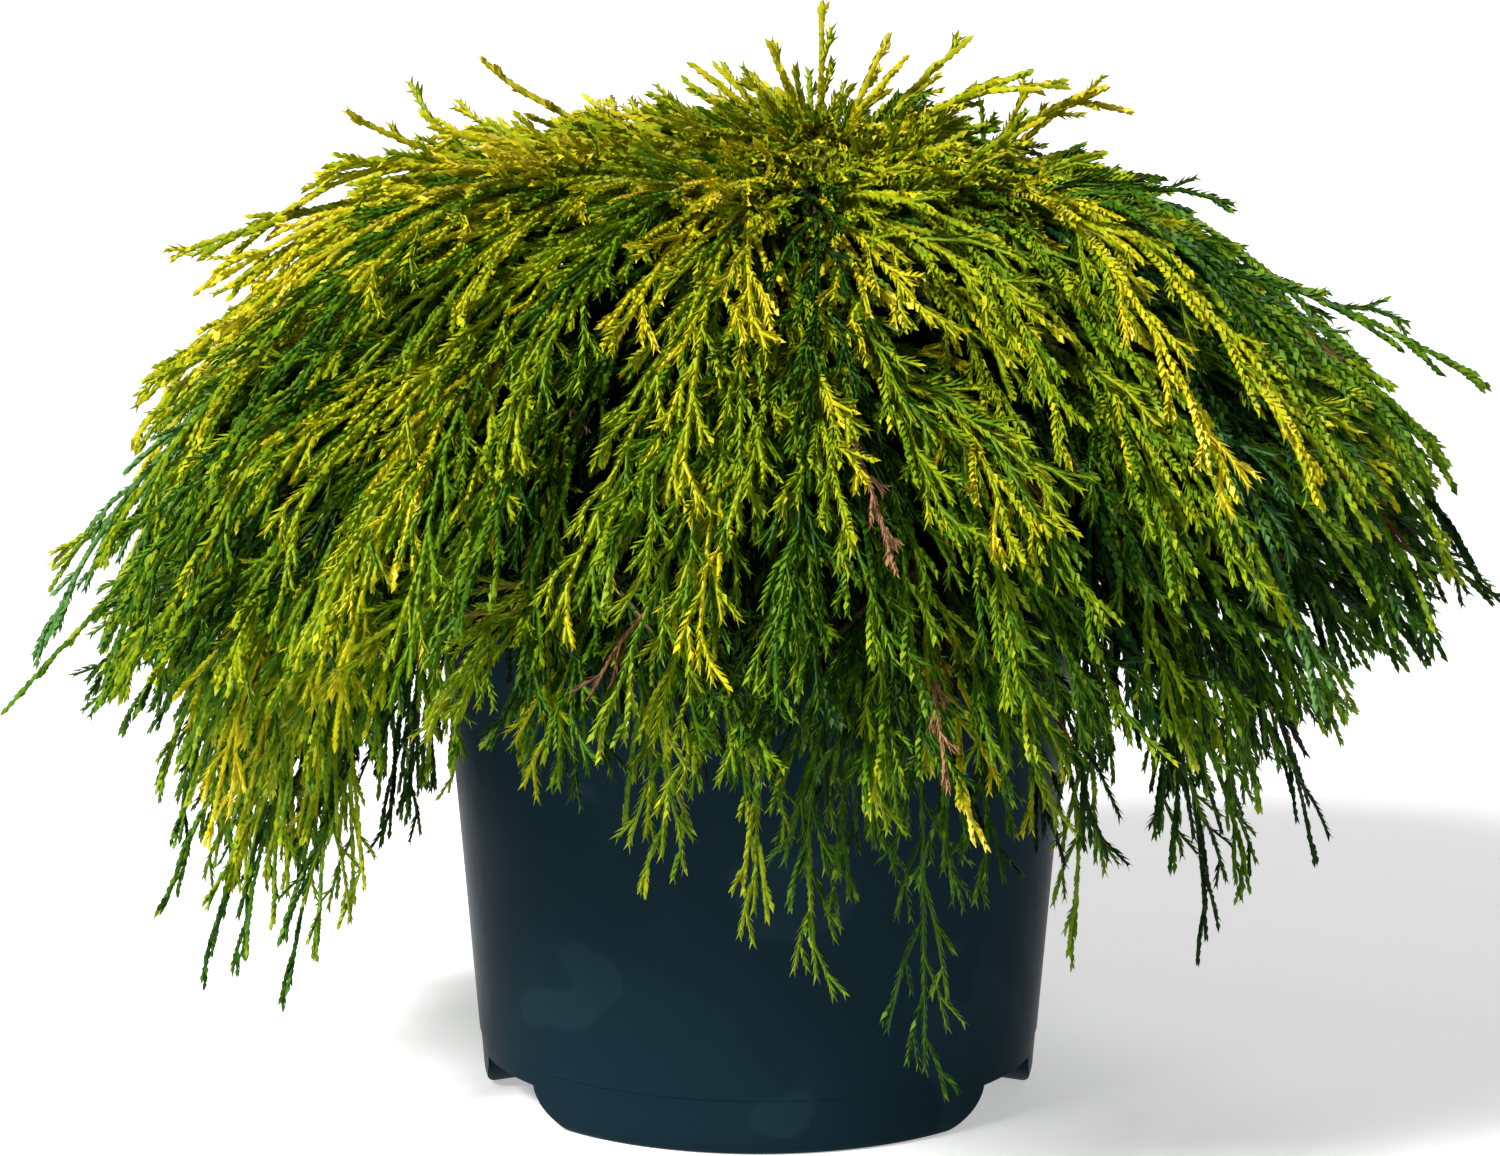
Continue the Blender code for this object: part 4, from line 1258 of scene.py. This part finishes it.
def make_foliage(paths):
    """The leaves of each mass, the cords of each tier and the green wood. The twigs deep in the
    shade bear no fine twigs."""
    rng = np.random.default_rng(SEED)
    masses = main_shoots(paths)
    shoots = kept_clear(twigs_from(masses))
    side_twigs = grow_twigs(shoots, SIDE_TWIGS, rng)
    fine_twigs = grow_twigs(picked(side_twigs, side_twigs["tint"] > DEEP_SHADE), FINE_TWIGS, rng)
    levels = (shoots, side_twigs, fine_twigs)
    leaves = [leaves_on(twigs, leaf, rng) for twigs, leaf in zip(levels, LEAVES)]
    corners, slots, owners = (np.concatenate(values) for values in zip(*leaves))
    looks = foliage_materials()
    for number, name in enumerate(masses):
        mine = owners == number
        mesh = leaf_mesh(f"threads_{name}", corners[mine], slots[mine])
        piece(f"threads_{name}", mesh, looks, [f"foliage_{name}"])
    make_cords(levels, list(masses), looks)
    points, triangles, _, _ = tubes(shoots, 0.0, WOOD_REACH, WOOD_LENGTHS, *WOOD_RADIUS, WOOD_SIDES)
    wood = mesh_from_arrays("green_wood", points, triangles)
    wood.shade_smooth()
    piece("green_wood", wood, [grained_material("green wood")])


# The floor, the light and the camera


def make_floor():
    """A pale floor that sweeps up behind the plant, and glows more the further it is from it."""
    line = [(-STAGE_REACH, 0.0)]
    for step in range(SWEEP_STEPS + 1):
        turn = 0.5 * math.pi * step / SWEEP_STEPS
        height = SWEEP_RADIUS * (1.0 - math.cos(turn))
        line.append((SWEEP_FOOT + SWEEP_RADIUS * math.sin(turn), height))
    verts = [(side * STAGE_REACH, along, height) for along, height in line for side in (-1.0, 1.0)]
    faces = [(2 * row, 2 * row + 1, 2 * row + 3, 2 * row + 2) for row in range(len(line) - 1)]
    mesh = bpy.data.meshes.new("floor")
    mesh.from_pydata(verts, [], faces)
    mesh.shade_smooth()
    floor = linked("floor", mesh)
    look, shader = new_material("floor", (248, 248, 248), roughness=0.9)
    shader.inputs["Emission Color"].default_value = WHITE
    tree = look.node_tree
    place = add_node(tree, "TexCoord", {}).outputs["Object"]
    distance = add_node(tree, "VectorMath", {0: place})
    distance.operation = "LENGTH"
    ranges = zip(("From Min", "From Max", "To Min", "To Max"), GLOW_REACH + FLOOR_GLOW)
    glow = add_node(tree, "MapRange", {"Value": distance.outputs["Value"]} | dict(ranges))
    tree.links.new(glow.outputs["Result"], shader.inputs["Emission Strength"])
    mesh.materials.append(look)


def make_world():
    """A dim white world that lights the plant, and the white that is seen behind it."""
    world = bpy.data.worlds.new("studio")
    world.use_nodes = True
    tree = world.node_tree
    ambient = tree.nodes["Background"]
    ambient.inputs["Color"].default_value = WHITE
    ambient.inputs["Strength"].default_value = WORLD_STRENGTH
    seen = add_node(tree, "Background", {"Color": WHITE, "Strength": BACKGROUND_STRENGTH})
    by_camera = add_node(tree, "LightPath", {}).outputs["Is Camera Ray"]
    ends = {"Fac": by_camera, 1: ambient.outputs["Background"], 2: seen.outputs["Background"]}
    either = add_node(tree, "MixShader", ends)
    tree.links.new(either.outputs["Shader"], tree.nodes["World Output"].inputs["Surface"])
    bpy.context.scene.world = world
    bpy.context.scene.view_settings.view_transform = "Standard"


def aimed(name, data, place, target):
    """A lamp or camera at a place, turned to its target."""
    obj = linked(name, data)
    obj.location = place
    obj.rotation_euler = (Vector(target) - Vector(place)).to_track_quat("-Z", "Y").to_euler()
    return obj


def add_area_light(name, place, size, power):
    light = bpy.data.lights.new(name, "AREA")
    light.shape = "DISK"
    light.size = size
    light.energy = power
    aimed(name, light, place, PLANT_MIDDLE)


def make_camera():
    camera = bpy.data.cameras.new("camera")
    camera.lens = CAMERA_LENS
    camera.sensor_width = CAMERA_SENSOR
    bpy.context.scene.camera = aimed("camera", camera, CAMERA_PLACE, CAMERA_TARGET)


def main():
    make_camera()
    make_floor()
    make_world()
    for lamp in LIGHTS:
        add_area_light(*lamp)
    make_pot()
    make_compost()
    paths = make_limbs()
    make_foliage(paths)


main()
